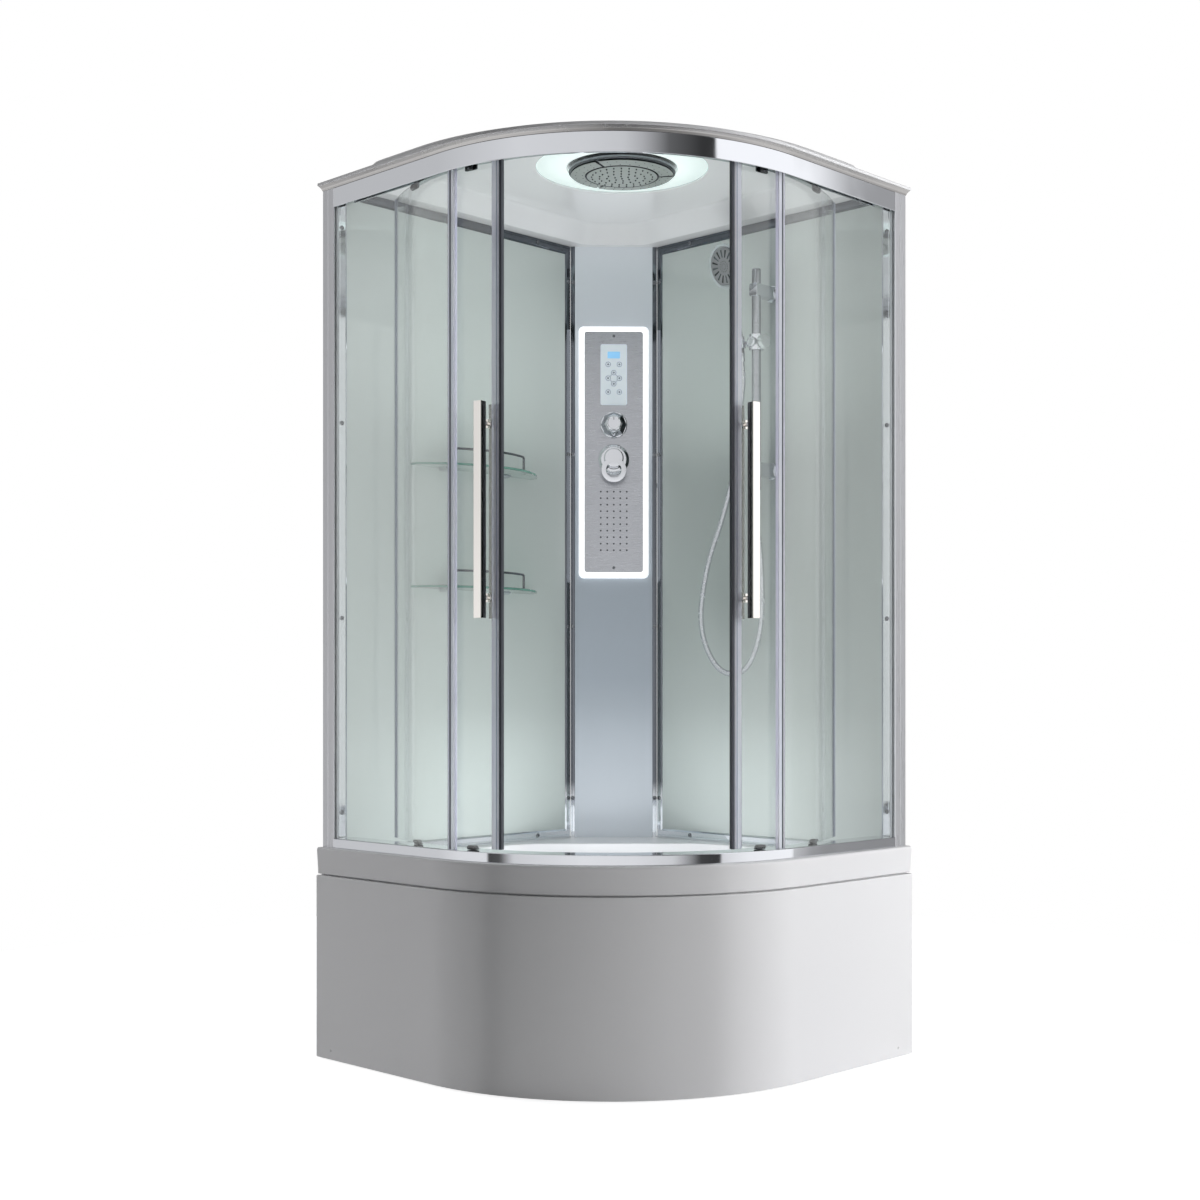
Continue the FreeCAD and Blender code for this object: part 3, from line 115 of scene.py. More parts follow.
class Form:
    """Collects one piece's faces; a shape is a pair of points and faces."""

    def __init__(self):
        self.points = []
        self.faces = []
        self.slots = []

    def add(self, shape, slot=0):
        points, faces = shape
        start = len(self.points)
        self.points.extend(points)
        self.faces.extend([[start + index for index in face] for face in faces])
        self.slots.extend([slot] * len(faces))
        return self

    def mirror(self):
        """The mirror image alone."""
        other = Form()
        other.points = [mirrored(point) for point in self.points]
        other.faces = [list(reversed(face)) for face in self.faces]
        other.slots = list(self.slots)
        return other

    def twin(self):
        """Adds the mirror image of all that is there."""
        other = self.mirror()
        start = len(self.points)
        self.points += other.points
        self.faces += [[start + index for index in face] for face in other.faces]
        self.slots += other.slots
        return self

    def paint(self, slot, chosen, first=0):
        """Gives slot to each face from first on whose corners all pass the test chosen."""
        for index in range(first, len(self.faces)):
            if all(chosen(self.points[corner]) for corner in self.faces[index]):
                self.slots[index] = slot

    def make(self, name, materials, node, slot, body="cabin", angle=32, flank=None):
        """Turns the faces into one object that rides on body and takes the place of the frame's node.

        Faces turned towards flank, where it is given, get the second material, a darker copy that paints a
        dark reflection on that side.
        """
        mesh = bpy.data.meshes.new(name)
        mesh.from_pydata([point * MILLIMETRE for point in self.points], [], self.faces)
        mesh.polygons.foreach_set("material_index", self.slots)
        work = bmesh.new()
        work.from_mesh(mesh)
        bmesh.ops.remove_doubles(work, verts=work.verts, dist=MERGE * MILLIMETRE)
        bmesh.ops.recalc_face_normals(work, faces=work.faces)
        for face in work.faces:
            if flank and face.normal.dot(flank) > FLANK_SHARE:
                face.material_index = 1
        work.to_mesh(mesh)
        work.free()
        for material in materials if isinstance(materials, list) else [materials]:
            mesh.materials.append(material)
        piece = bpy.data.objects.new(name, mesh)
        bpy.context.scene.collection.objects.link(piece)
        mesh.shade_smooth()
        if angle < 180:
            mesh.set_sharp_from_angle(angle=math.radians(angle))
            even_out = piece.modifiers.new("normals", "WEIGHTED_NORMAL")
            even_out.keep_sharp = True
            even_out.weight = 60
        if body:
            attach(piece, body)
        if node:
            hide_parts(node)
        return piece


def grid_faces(rows, columns, closed_rows=False, closed_columns=True):
    """Quads between rows of points that each have columns points."""
    faces = []
    for row in range(rows if closed_rows else rows - 1):
        here, after = row * columns, (row + 1) % rows * columns
        for column in range(columns if closed_columns else columns - 1):
            beside = (column + 1) % columns
            faces.append([here + column, here + beside, after + beside, after + column])
    return faces


def loft(rings, cap_start=True, closed=False):
    """A skin over rings that all have the same number of points."""
    count = len(rings[0])
    points = [point for ring in rings for point in ring]
    faces = grid_faces(len(rings), count, closed_rows=closed)
    if cap_start and not closed:
        faces.append(list(reversed(range(count))))
    if not closed:
        faces.append(list(range(len(points) - count, len(points))))
    return points, faces


def bend(start, corner, end, steps):
    """Points along the curve that leaves start towards corner and turns to end."""
    made = []
    for step in range(steps + 1):
        share = step / steps
        made.append(start * (1 - share) ** 2 + corner * 2 * share * (1 - share) + end * share ** 2)
    return made


def softened(outline, radius, steps=3):
    """A closed outline of 2-D points with its corners rounded; radius is one value or one for each corner."""
    made = []
    for index, corner in enumerate(outline):
        corner = Vector(corner)
        before = Vector(outline[index - 1]) - corner
        after = Vector(outline[(index + 1) % len(outline)]) - corner
        wanted = radius[index] if isinstance(radius, list) else radius
        reach = min(wanted, 0.48 * before.length, 0.48 * after.length)
        if reach > 0:
            start, end = corner + before.normalized() * reach, corner + after.normalized() * reach
            made += bend(start, corner, end, steps)
        else:
            made.append(corner)
    return made


def rectangle(low_x, low_y, high_x, high_y):
    return [(low_x, low_y), (low_x, high_y), (high_x, high_y), (high_x, low_y)]


def rounded_rectangle(wide, high, radius, steps=6):
    """Points of an upright rectangle about the origin with circular corners."""
    made = []
    for quarter, (side, top) in enumerate(((1, 1), (-1, 1), (-1, -1), (1, -1))):
        for step in range(steps + 1):
            turn = math.pi / 2 * (quarter + step / steps)
            made.append(Vector((
                side * (wide / 2 - radius) + radius * math.cos(turn),
                top * (high / 2 - radius) + radius * math.sin(turn),
            )))
    return made


def left_run(start_x):
    """The start of the straight front on the left: a point on the tray's edge and the way inwards."""
    return [(Vector((start_x, -HALF, 0)), Vector((0, 1, 0)))]


def arc_run(start=45.0, end=-45.0, steps=ARC_STEPS):
    angles = [start + (end - start) * step / steps for step in range(steps + 1)]
    return [(polar(FRONT_RADIUS, angle), -outward(angle)) for angle in angles]


def front_run(start=-HALF):
    """Stations along the whole front, from one room wall to the other."""
    return left_run(start) + arc_run() + [(Vector((HALF, -start, 0)), Vector((-1, 0, 0)))]


def sweep(section, stations):
    """A section of (inset, level) points carried along stations."""
    return loft([
        [place + inward * inset + UP * level for inset, level in section] for place, inward in stations
    ])


def lathe(profile, origin, axis, sides=48, start=0.0, end=360.0):
    """A turned piece; profile is (distance along axis, radius) points."""
    axis = axis.normalized()
    across = axis.orthogonal().normalized()
    other = axis.cross(across)
    full = end - start == 360
    count = sides if full else sides + 1
    points = []
    for step in range(count):
        turn = math.radians(start + (end - start) * step / sides)
        away = across * math.cos(turn) + other * math.sin(turn)
        points += [origin + axis * along + away * radius for along, radius in profile]
    return points, grid_faces(count, len(profile), closed_rows=full, closed_columns=False)


def frames_along(points):
    """Two cross directions at each point of a path, with no twist between them."""
    last = len(points) - 1
    tangents = [
        (points[min(last, index + 1)] - points[max(0, index - 1)]).normalized() for index in range(last + 1)
    ]
    side = tangents[0].orthogonal().normalized()
    made = []
    for index, tangent in enumerate(tangents):
        if index:
            side = tangents[index - 1].rotation_difference(tangent) @ side
            side = (side - tangent * side.dot(tangent)).normalized()
        made.append((side, tangent.cross(side)))
    return made


def tube(points, radius, sides=20):
    """A round bar along points; radius is one value or one for each point."""
    rings = []
    for index, (side, other) in enumerate(frames_along(points)):
        size = radius[index] if isinstance(radius, list) else radius
        rings.append([
            points[index] + side * (size * math.cos(turn)) + other * (size * math.sin(turn))
            for turn in circle_turns(sides)
        ])
    return loft(rings)


def bar(start, end, radius, sides=24, round_end=0.0):
    """A straight round bar whose ends may be eased."""
    length = (end - start).length
    ease = min(round_end, radius * 0.9, length / 2)
    profile = [(0, 0), (0, radius - ease)]
    if ease:
        profile += [(ease * 0.3, radius - ease * 0.3), (ease, radius), (length - ease, radius)]
        profile += [(length - ease * 0.3, radius - ease * 0.3), (length, radius - ease), (length, 0)]
    else:
        profile += [(0, radius), (length, radius), (length, 0)]
    return lathe(profile, start, end - start, sides)


def slab(outline, place, near, far, ease=0.0):
    """An extruded outline: place(x, y, depth) gives each point, near and far are its two depths."""
    centre = sum((Vector(point) for point in outline), Vector((0, 0))) / len(outline)
    step = math.copysign(ease, far - near)
    levels = [(near + step, 0), (far - step, 0)]
    if ease:
        levels = [(near, ease), (near + step * 0.3, ease * 0.3)] + levels
        levels += [(far - step * 0.3, ease * 0.3), (far, ease)]
    rings = []
    for depth, inset in levels:
        ring = []
        for point in outline:
            away = Vector(point) - centre
            shrunk = centre + away * (1 - inset / max(away.length, 1e-6))
            ring.append(place(shrunk.x, shrunk.y, depth))
        rings.append(ring)
    return loft(rings)


def rgb(red, green, blue):
    """A colour given as it is seen, in 0 to 255, as the shader wants it."""
    made = []
    for value in (red, green, blue):
        share = value / 255
        made.append(share / 12.92 if share <= 0.04045 else ((share + 0.055) / 1.055) ** 2.4)
    return (*made, 1.0)


def scaled_colour(colour, share):
    return tuple(min(1, value * share) for value in colour[:3]) + (1,)


def grow(tree, kind, sockets=(), **settings):
    """Adds a shader node; sockets pairs an input's name or number with a value or another node's output."""
    made = tree.nodes.new("ShaderNode" + kind)
    for name, value in settings.items():
        setattr(made, name, value)
    for socket, value in sockets:
        if isinstance(value, bpy.types.NodeSocket):
            tree.links.new(value, made.inputs[socket])
        else:
            made.inputs[socket].default_value = value
    return made


def ranged(tree, value, low_at, high_at, low=0.0, high=1.0):
    """Goes from low to high as value goes from low_at to high_at."""
    return grow(tree, "MapRange", [
        ("Value", value), ("From Min", low_at), ("From Max", high_at), ("To Min", low), ("To Max", high),
    ]).outputs["Result"]


def mix_colours(tree, factor, first, second):
    return grow(tree, "Mix", [(0, factor), (6, first), (7, second)], data_type="RGBA").outputs[2]


def mix_shaders(tree, factor, first, second):
    return grow(tree, "MixShader", [(0, factor), (1, first), (2, second)]).outputs[0]


class Paint:
    """A node material under construction."""

    def __init__(self, name, colour, roughness=0.4, metallic=0.0, **sockets):
        self.material = bpy.data.materials.new(name)
        self.material.use_nodes = True
        self.tree = self.material.node_tree
        self.shader = self.tree.nodes["Principled BSDF"]
        self.normal = None
        self.set(Base_Color=colour, Roughness=roughness, Metallic=metallic, **sockets)

    def set(self, **sockets):
        for name, value in sockets.items():
            self.shader.inputs[name.replace("_", " ")].default_value = value

    def link(self, output, socket):
        self.tree.links.new(output, self.shader.inputs[socket])

    def place(self, stretch=(1, 1, 1)):
        """Object coordinates, stretched per axis."""
        where = grow(self.tree, "TexCoord").outputs["Object"]
        return grow(self.tree, "Mapping", [("Vector", where), ("Scale", stretch)]).outputs["Vector"]

    def level(self):
        """The height over the floor, in metres."""
        where = grow(self.tree, "TexCoord").outputs["Object"]
        return grow(self.tree, "SeparateXYZ", [(0, where)]).outputs["Z"]

    def noise(self, scale, stretch=(1, 1, 1), detail=2.0):
        sockets = [("Vector", self.place(stretch)), ("Scale", scale), ("Detail", detail)]
        return grow(self.tree, "TexNoise", sockets).outputs["Fac"]

    def blend(self, factor, first, second, low_at=0.3, high_at=0.7):
        """A colour between first and second as factor goes from low_at to high_at."""
        return mix_colours(self.tree, ranged(self.tree, factor, low_at, high_at), first, second)

    def tint(self, factor, first, second, low_at=0.3, high_at=0.7):
        self.link(self.blend(factor, first, second, low_at, high_at), "Base Color")

    def rough(self, factor, low, high, low_at=0.3, high_at=0.7):
        self.link(ranged(self.tree, factor, low_at, high_at, low, high), "Roughness")

    def bump(self, factor, height, strength=1.0):
        """Raises the surface by height millimetres where factor is 1."""
        sockets = [("Strength", strength), ("Distance", height * MILLIMETRE), ("Height", factor)]
        if self.normal:
            sockets.append(("Normal", self.normal))
        self.normal = grow(self.tree, "Bump", sockets).outputs["Normal"]
        self.link(self.normal, "Normal")

    def clear_to_lamps(self, through):
        """Lets the lamps' light through, tinted, where the shader alone would cast a full shadow."""
        rays = grow(self.tree, "LightPath").outputs["Is Shadow Ray"]
        clear = grow(self.tree, "BsdfTransparent", [("Color", through)]).outputs[0]
        self.surface(mix_shaders(self.tree, rays, self.shader.outputs[0], clear))

    def surface(self, output):
        self.tree.links.new(output, self.tree.nodes["Material Output"].inputs["Surface"])


def acrylic():
    paint = Paint("white_acrylic", rgb(236, 236, 238), 0.24, Coat_Weight=0.35, Coat_Roughness=0.14)
    paint.tint(paint.noise(1.6, detail=0), rgb(234, 234, 237), rgb(238, 238, 239), 0, 1)
    paint.rough(paint.noise(2), 0.22, 0.26, 0, 1)
    paint.bump(paint.noise(300), 0.004, 0.1)
    return paint.material


def chrome(name, colour, roughness, wave=0.05):
    paint = Paint(name, colour, roughness, 1.0)
    paint.rough(paint.noise(14), roughness * 0.8, roughness * 1.4 + 0.01)
    paint.bump(paint.noise(7, detail=1), wave, 0.4)
    return paint.material


def frame_chrome_painted_reflection():
    """Bright metal of the inner profiles with a painted reflection: pale below 0.56 m, as if it mirrored the
    tray, darker above 0.62 m.
    """
    paint = Paint("frame_chrome_painted_reflection", rgb(150, 154, 160), 0.06, 1.0)
    paint.tint(paint.level(), rgb(226, 230, 234), rgb(104, 108, 114), 0.56, 0.62)
    paint.bump(paint.noise(7, detail=1), 0.05, 0.4)
    return paint.material


def satin(name, colour, roughness, stretch, lines=700):
    """Metal with fine lines drawn along one direction."""
    paint = Paint(name, colour, roughness, 1.0)
    grain = paint.noise(lines, stretch, 1.0)
    paint.rough(grain, roughness * 0.8, roughness * 1.3)
    paint.bump(grain, 0.012, 0.5)
    return paint.material


def clear_glass():
    paint = Paint("clear_glass", rgb(250, 252, 251), 0.0, Transmission_Weight=1.0, IOR=1.5)
    paint.bump(paint.noise(3, detail=0.5), 0.05, 0.1)
    paint.clear_to_lamps((0.93, 0.945, 0.94, 1))
    return paint.material


def glass_edge():
    paint = Paint("glass_edge", rgb(120, 168, 158), 0.1, Transmission_Weight=0.2, IOR=1.5)
    paint.tint(paint.noise(12), rgb(96, 150, 134), rgb(122, 172, 158))
    paint.clear_to_lamps((0.7, 0.85, 0.8, 1))
    return paint.material


def painted_glass():
    """Toughened panes painted on the back: the gloss lies over a pale green coat."""
    paint = Paint("painted_glass", rgb(203, 211, 209), 0.3, Coat_Weight=1.0, Coat_Roughness=0.0)
    paint.tint(paint.noise(1.2), rgb(200, 209, 206), rgb(206, 213, 211))
    paint.bump(paint.noise(4, detail=1), 0.04, 0.2)
    return paint.material


def shelf_glass():
    paint = Paint("shelf_glass", rgb(242, 251, 248), 0.0, Transmission_Weight=1.0, IOR=1.5)
    paint.bump(paint.noise(20), 0.02, 0.1)
    paint.clear_to_lamps((0.85, 0.93, 0.9, 1))
    return paint.material


def soft_seal(name, colour, clearness):
    """Soft translucent plastic."""
    paint = Paint(name, colour, 0.3, Transmission_Weight=clearness, IOR=1.2)
    paint.tint(paint.noise(90, (1, 1, 0.05)), colour, scaled_colour(colour, 1.12))
    paint.clear_to_lamps((0.8, 0.8, 0.85, 1))
    return paint.material


def plastic(name, colour, roughness=0.45):
    paint = Paint(name, colour, roughness)
    paint.tint(paint.noise(30), scaled_colour(colour, 0.94), colour)
    paint.bump(paint.noise(900), 0.02, 0.4)
    return paint.material


def galvanised():
    paint = Paint("galvanised_steel", rgb(168, 172, 176), 0.42, 0.9)
    spangle = grow(paint.tree, "TexVoronoi", [("Scale", 160), ("Vector", paint.place())])
    paint.tint(spangle.outputs["Color"], rgb(148, 153, 158), rgb(186, 190, 194), 0, 1)
    paint.bump(spangle.outputs["Distance"], 0.02, 0.4)
    return paint.material


def glow(name, colour, strength):
    paint = Paint(name, rgb(240, 244, 246), 0.3, Emission_Color=colour, Emission_Strength=strength)
    paint.tint(paint.noise(80), rgb(236, 240, 243), rgb(246, 248, 250))
    return paint.material


def lit(name, colour, light, strength):
    """A smooth face with a weak light of its own."""
    paint = Paint(name, colour, 0.3, Emission_Color=light, Emission_Strength=strength)
    paint.tint(paint.noise(30), scaled_colour(colour, 0.95), colour)
    return paint.material


def halo_glow():
    """The ceiling light: brightest beside the shower head, paler towards its edge. Lengths in metres."""
    centre, bright, pale = (0.011, 0.011, 2.1), 0.128, 0.196
    paint = Paint("ceiling_glow", rgb(232, 240, 238), 0.35, Emission_Strength=0.5)
    where = grow(paint.tree, "TexCoord").outputs["Object"]
    away = grow(paint.tree, "VectorMath", [(0, where), (1, centre)], operation="SUBTRACT").outputs["Vector"]
    reach = grow(paint.tree, "VectorMath", [(0, away)], operation="LENGTH").outputs["Value"]
    paint.link(paint.blend(reach, rgb(236, 250, 247), rgb(176, 196, 192), bright, pale), "Emission Color")
    paint.rough(paint.noise(80), 0.3, 0.4)
    return paint.material


def column_sheet():
    """Silver-blue laminate of the corner column, darker in the middle and paler towards its two ends: a
    painted reflection. Lengths in metres.
    """
    middle, dark_reach, pale_reach = 1.15, 0.25, 0.9
    paint = Paint("column_panel", rgb(192, 200, 210), 0.26, 0.25, Coat_Weight=0.3, Coat_Roughness=0.15)
    away = grow(paint.tree, "Math", [(0, paint.level()), (1, middle)], operation="SUBTRACT").outputs[0]
    distance = grow(paint.tree, "Math", [(0, away)], operation="ABSOLUTE").outputs[0]
    paint.tint(distance, rgb(176, 186, 196), rgb(238, 243, 249), dark_reach, pale_reach)
    paint.bump(paint.noise(600, (1, 1, 0.2)), 0.008, 0.3)
    return paint.material


def hose_metal():
    paint = Paint("braided_hose", rgb(214, 216, 220), 0.2, 0.9)
    paint.rough(paint.noise(60), 0.15, 0.3)
    return paint.material


ACRYLIC = acrylic()
COVE = chrome("cove_shadow", rgb(200, 198, 196), 0.22, 0.02)
CHROME_PROFILE = chrome("chrome_profile", rgb(214, 216, 220), 0.05, 0.08)
SATIN_PROFILE = satin("satin_profile", rgb(212, 213, 216), 0.32, (1, 1, 0.02))
FRAME_CHROME_PAINTED_REFLECTION = frame_chrome_painted_reflection()
CLEAR = clear_glass()
GLASS_EDGE = glass_edge()
PAINTED = painted_glass()
SHELF = shelf_glass()
SEAL_CLEAR = soft_seal("soft_seal", rgb(240, 240, 252), 0.7)
# Dark seal material for painted shade on the seals' edges.
SEAL_PAINTED_SHADE = soft_seal("seal_shadow", rgb(84, 86, 92), 0.1)
SEAL_GREY = soft_seal("seal_lip", rgb(150, 156, 172), 0.15)
HANDLE = chrome("handle_chrome", rgb(240, 236, 231), 0.07, 0.02)
# A darker copy of the handle chrome, for a painted dark reflection.
HANDLE_PAINTED_REFLECTION = chrome("handle_side_painted_reflection", rgb(122, 123, 120), 0.1, 0.02)
CHROME = chrome("fitting_chrome", rgb(222, 224, 228), 0.04, 0.01)
# Darker chrome for the diverter's mark, and for a painted dark reflection on faces turned towards the
# column's side.
CHROME_MARK_AND_PAINTED_REFLECTION = chrome("chrome_mark_and_painted_reflection", rgb(66, 70, 72), 0.08, 0.01)
CHROME_DARK = chrome("chrome_shadow", rgb(120, 122, 126), 0.12, 0.01)
BAR_CHROME = chrome("bar_chrome", rgb(172, 175, 179), 0.12, 0.0)
RUBBER = plastic("grey_rubber", rgb(146, 148, 150), 0.4)
RUBBER_DARK = plastic("rubber_tip", rgb(52, 54, 56), 0.55)
KNOB_GREY = plastic("knob_grey", rgb(206, 214, 213), 0.3)
HEAD_FACE = plastic("head_face", rgb(158, 165, 161), 0.3)
ROLLER = plastic("roller_plastic", rgb(58, 60, 62), 0.4)
GREY_PLASTIC = plastic("grey_plastic", rgb(176, 178, 180))
BLACK_PLASTIC = plastic("black_plastic", rgb(34, 34, 36), 0.5)
KEY = plastic("key_ring", rgb(92, 102, 118), 0.35)
KEYPAD = lit("keypad_film", rgb(242, 247, 250), rgb(190, 215, 240), 0.14)
DISPLAY = lit("display", rgb(150, 195, 225), rgb(125, 198, 255), 0.45)
LED = glow("light_diffuser", (1.0, 1.0, 1.0, 1), 1.25)
LED_EDGE = glow("light_edge", (0.95, 0.98, 1.0, 1), 0.68)
CEILING_GLOW = halo_glow()
COLUMN = column_sheet()
BRUSHED = satin("brushed_plate", rgb(186, 188, 193), 0.3, (0.02, 0.02, 1), 1600)
BRASS = satin("valve_brass", rgb(196, 164, 98), 0.35, (1, 1, 0.2), 400)
PIPE_STEEL = satin("pipe_steel", rgb(188, 190, 193), 0.28, (1, 1, 0.1), 300)
STEEL = galvanised()
HOSE = hose_metal()

# Tray and roof, drawn as rings of the plan
PLAN_CORNER_STEPS, PLAN_RUN_STEPS = 6, 14
BASIN_FRONT, BASIN_WALL = 106, 80
SEAT_CUT, DEEP_CUT = 330, 520
SEAT_LEVEL, BASIN_FLOOR = 400, 190
BASIN_ROUND, FLOOR_ROUND = 70, 46
TRAY_SKIN, SKIRT_INSET = 6, 60
RIM_WIDTH, RIM_END_WIDTH = 98, 40
DRAIN = Vector((0, -170, 0))
DRAIN_RECESS_RADIUS, DRAIN_HOLE_RADIUS, DRAIN_RECESS = 56.5, 45, 3
HEAD = Vector((11, 11, 0))
LIGHT_RADIUS, LIGHT_INNER, LIGHT_TOP = 204, 132, 2108
QUARTER = [math.pi / 2 * step / 5 for step in range(6)]


def plan_ring(front, wall, level, cut=1.0, corner=0.6, flat=0):
    """The plan drawn in from its front and its walls, its back corner cut off and its corners rounded.

    Flat makes the front arc's radius that much larger.
    """
    left, back = -HALF + wall, HALF - wall
    radius = FRONT_RADIUS - front + flat

    def on_arc(angle):
        turn = math.radians(-45 - angle)
        return Vector((ARC_X - flat + radius * math.cos(turn), ARC_Y + flat + radius * math.sin(turn), 0))

    cut_left, front_left = Vector((left, back - cut, 0)), Vector((left, -HALF + front, 0))
    front_right, cut_right = Vector((HALF - front, back, 0)), Vector((left + cut, back, 0))
    rounded = []
    for before, middle, after in (
        (cut_right, cut_left, front_left), (cut_left, front_left, on_arc(45)),
        (on_arc(-45), front_right, cut_right), (front_right, cut_right, cut_left),
    ):
        reach = min(corner, 0.45 * (before - middle).length, 0.45 * (after - middle).length)
        start = middle + (before - middle).normalized() * reach
        end = middle + (after - middle).normalized() * reach
        rounded.append(bend(start, middle, end, PLAN_CORNER_STEPS))
    front_arc = [on_arc(45 - 90 * step / ARC_STEPS) for step in range(ARC_STEPS + 1)]
    runs = [rounded[0], rounded[1], front_arc, rounded[2], rounded[3]]
    ring = []
    for run, after in zip(runs, runs[1:] + runs[:1]):
        ring += run + [run[-1].lerp(after[0], step / PLAN_RUN_STEPS) for step in range(1, PLAN_RUN_STEPS)]
    return [Vector((point.x, point.y, level)) for point in ring]


def plan_rings(*rows):
    return [plan_ring(*row) for row in rows]


def circle_like(ring, centre, radius, level):
    """A circle with one point for each of the ring's, in the same directions from centre."""
    made = []
    for point in ring:
        away = Vector((point.x - centre.x, point.y - centre.y, 0)).normalized()
        made.append(Vector((centre.x + away.x * radius, centre.y + away.y * radius, level)))
    return made


def basin_rings(out):
    """The basin's rings from the ledge down to the floor; out thickens them outwards for the underside."""
    front, wall = BASIN_FRONT - out, BASIN_WALL - out
    rings = [
        plan_ring(front, wall, level - out, cut, BASIN_ROUND)
        for cut, level in (
            (SEAT_CUT, 462), (SEAT_CUT + 1, 432), (SEAT_CUT + 5, 416), (SEAT_CUT + 16, 406),
            (SEAT_CUT + 36, SEAT_LEVEL + 1), (DEEP_CUT - 44, SEAT_LEVEL - 1), (DEEP_CUT - 18, SEAT_LEVEL - 5),
            (DEEP_CUT - 5, SEAT_LEVEL - 17), (DEEP_CUT, SEAT_LEVEL - 36),
        )
    ]
    for turn in QUARTER:
        inset = FLOOR_ROUND * (1 - math.cos(turn))
        level = BASIN_FLOOR + 4 + FLOOR_ROUND * (1 - math.sin(turn)) - out
        rings.append(plan_ring(front + inset, wall + inset, level, DEEP_CUT - 0.59 * inset, BASIN_ROUND))
    return rings


def rim_section(width, edge):
    """The raised rim, width wide from the tray's edge inwards."""
    outer = [(8, RIM_FOOT), (4, RIM_TOP), (width, RIM_TOP)]
    inner = [(width, LEDGE - 1), (14, LEDGE - 5), (14, RIM_FOOT)]
    return softened(outer + inner, [1.5, 7, edge, 1, 1, 1], 5)


def make_tray():
    ledge = plan_rings(
        (BASIN_FRONT - 5, BASIN_WALL - 5, LEDGE, SEAT_CUT + 3, BASIN_ROUND),
        (BASIN_FRONT - 1.5, BASIN_WALL - 1.5, LEDGE - 2, SEAT_CUT + 1, BASIN_ROUND),
    )
    inside = basin_rings(0)
    recess_floor = BASIN_FLOOR - DRAIN_RECESS
    floor = [
        circle_like(inside[-1], DRAIN, radius, level)
        for radius, level in (
            (DRAIN_RECESS_RADIUS + 3, BASIN_FLOOR + 0.4), (DRAIN_RECESS_RADIUS, BASIN_FLOOR),
            (DRAIN_RECESS_RADIUS, recess_floor), (DRAIN_HOLE_RADIUS, recess_floor),
            (DRAIN_HOLE_RADIUS, BASIN_FLOOR - TRAY_SKIN),
        )
    ]
    skirt = plan_rings(
        (SKIRT_INSET + TRAY_SKIN, TRAY_SKIN, LEDGE - TRAY_SKIN),
        (SKIRT_INSET + TRAY_SKIN, TRAY_SKIN, RIM_FOOT), (SKIRT_INSET, 1.5, RIM_FOOT),
        (SKIRT_INSET, 0, RIM_FOOT + 1.5), (SKIRT_INSET, 0, LEDGE - 2), (SKIRT_INSET, 2, LEDGE),
    )
    rings = skirt + ledge + inside + floor + list(reversed(basin_rings(TRAY_SKIN)))
    form = Form().add(loft(rings, closed=True))
    form.add(sweep(rim_section(RIM_WIDTH, 6), front_run(-HALF + WALL_DEPTH)))
    form.add(sweep(rectangle(17.2, 424, 19.2, 445), front_run(-HALF + 1)))
    ends = left_run(-HALF) + left_run(-HALF + WALL_DEPTH)
    end = Form().add(sweep(rim_section(RIM_END_WIDTH, 0.4), ends)).twin()
    form.add((end.points, end.faces))
    form.make("tray", ACRYLIC, "tray_shell", "white_acrylic", angle=40)


APRON_CORNER, APRON_RETURN = 6, 25


def make_apron():
    start = [(Vector((-HALF, -HALF + APRON_RETURN, 0)), Vector((1, 0, 0)))]
    centre = Vector((-HALF + APRON_CORNER, -HALF + APRON_CORNER, 0))
    for turn in QUARTER:
        away = Vector((-math.cos(turn), -math.sin(turn), 0))
        start.append((centre + away * APRON_CORNER, -away))
    half = start + arc_run(45, 0, ARC_STEPS // 2)
    other = [(mirrored(place), mirrored(inward)) for place, inward in reversed(half[:-1])]
    outline = [
        (0, APRON_FOOT), (0, APRON_TOP), (16, APRON_TOP),
        (16, APRON_TOP - 3), (4, APRON_TOP - 4), (4, APRON_FOOT),
    ]
    section = softened(outline, [1.5, 2.5, 0.8, 0.8, 1.5, 1.5], 4)
    Form().add(sweep(section, half + other)).make("apron", ACRYLIC, "apron_panel", "white_acrylic", angle=40)


CROWN_FLAT = 165
COVE_TOP = TOP_RAIL_TOP + 9.2


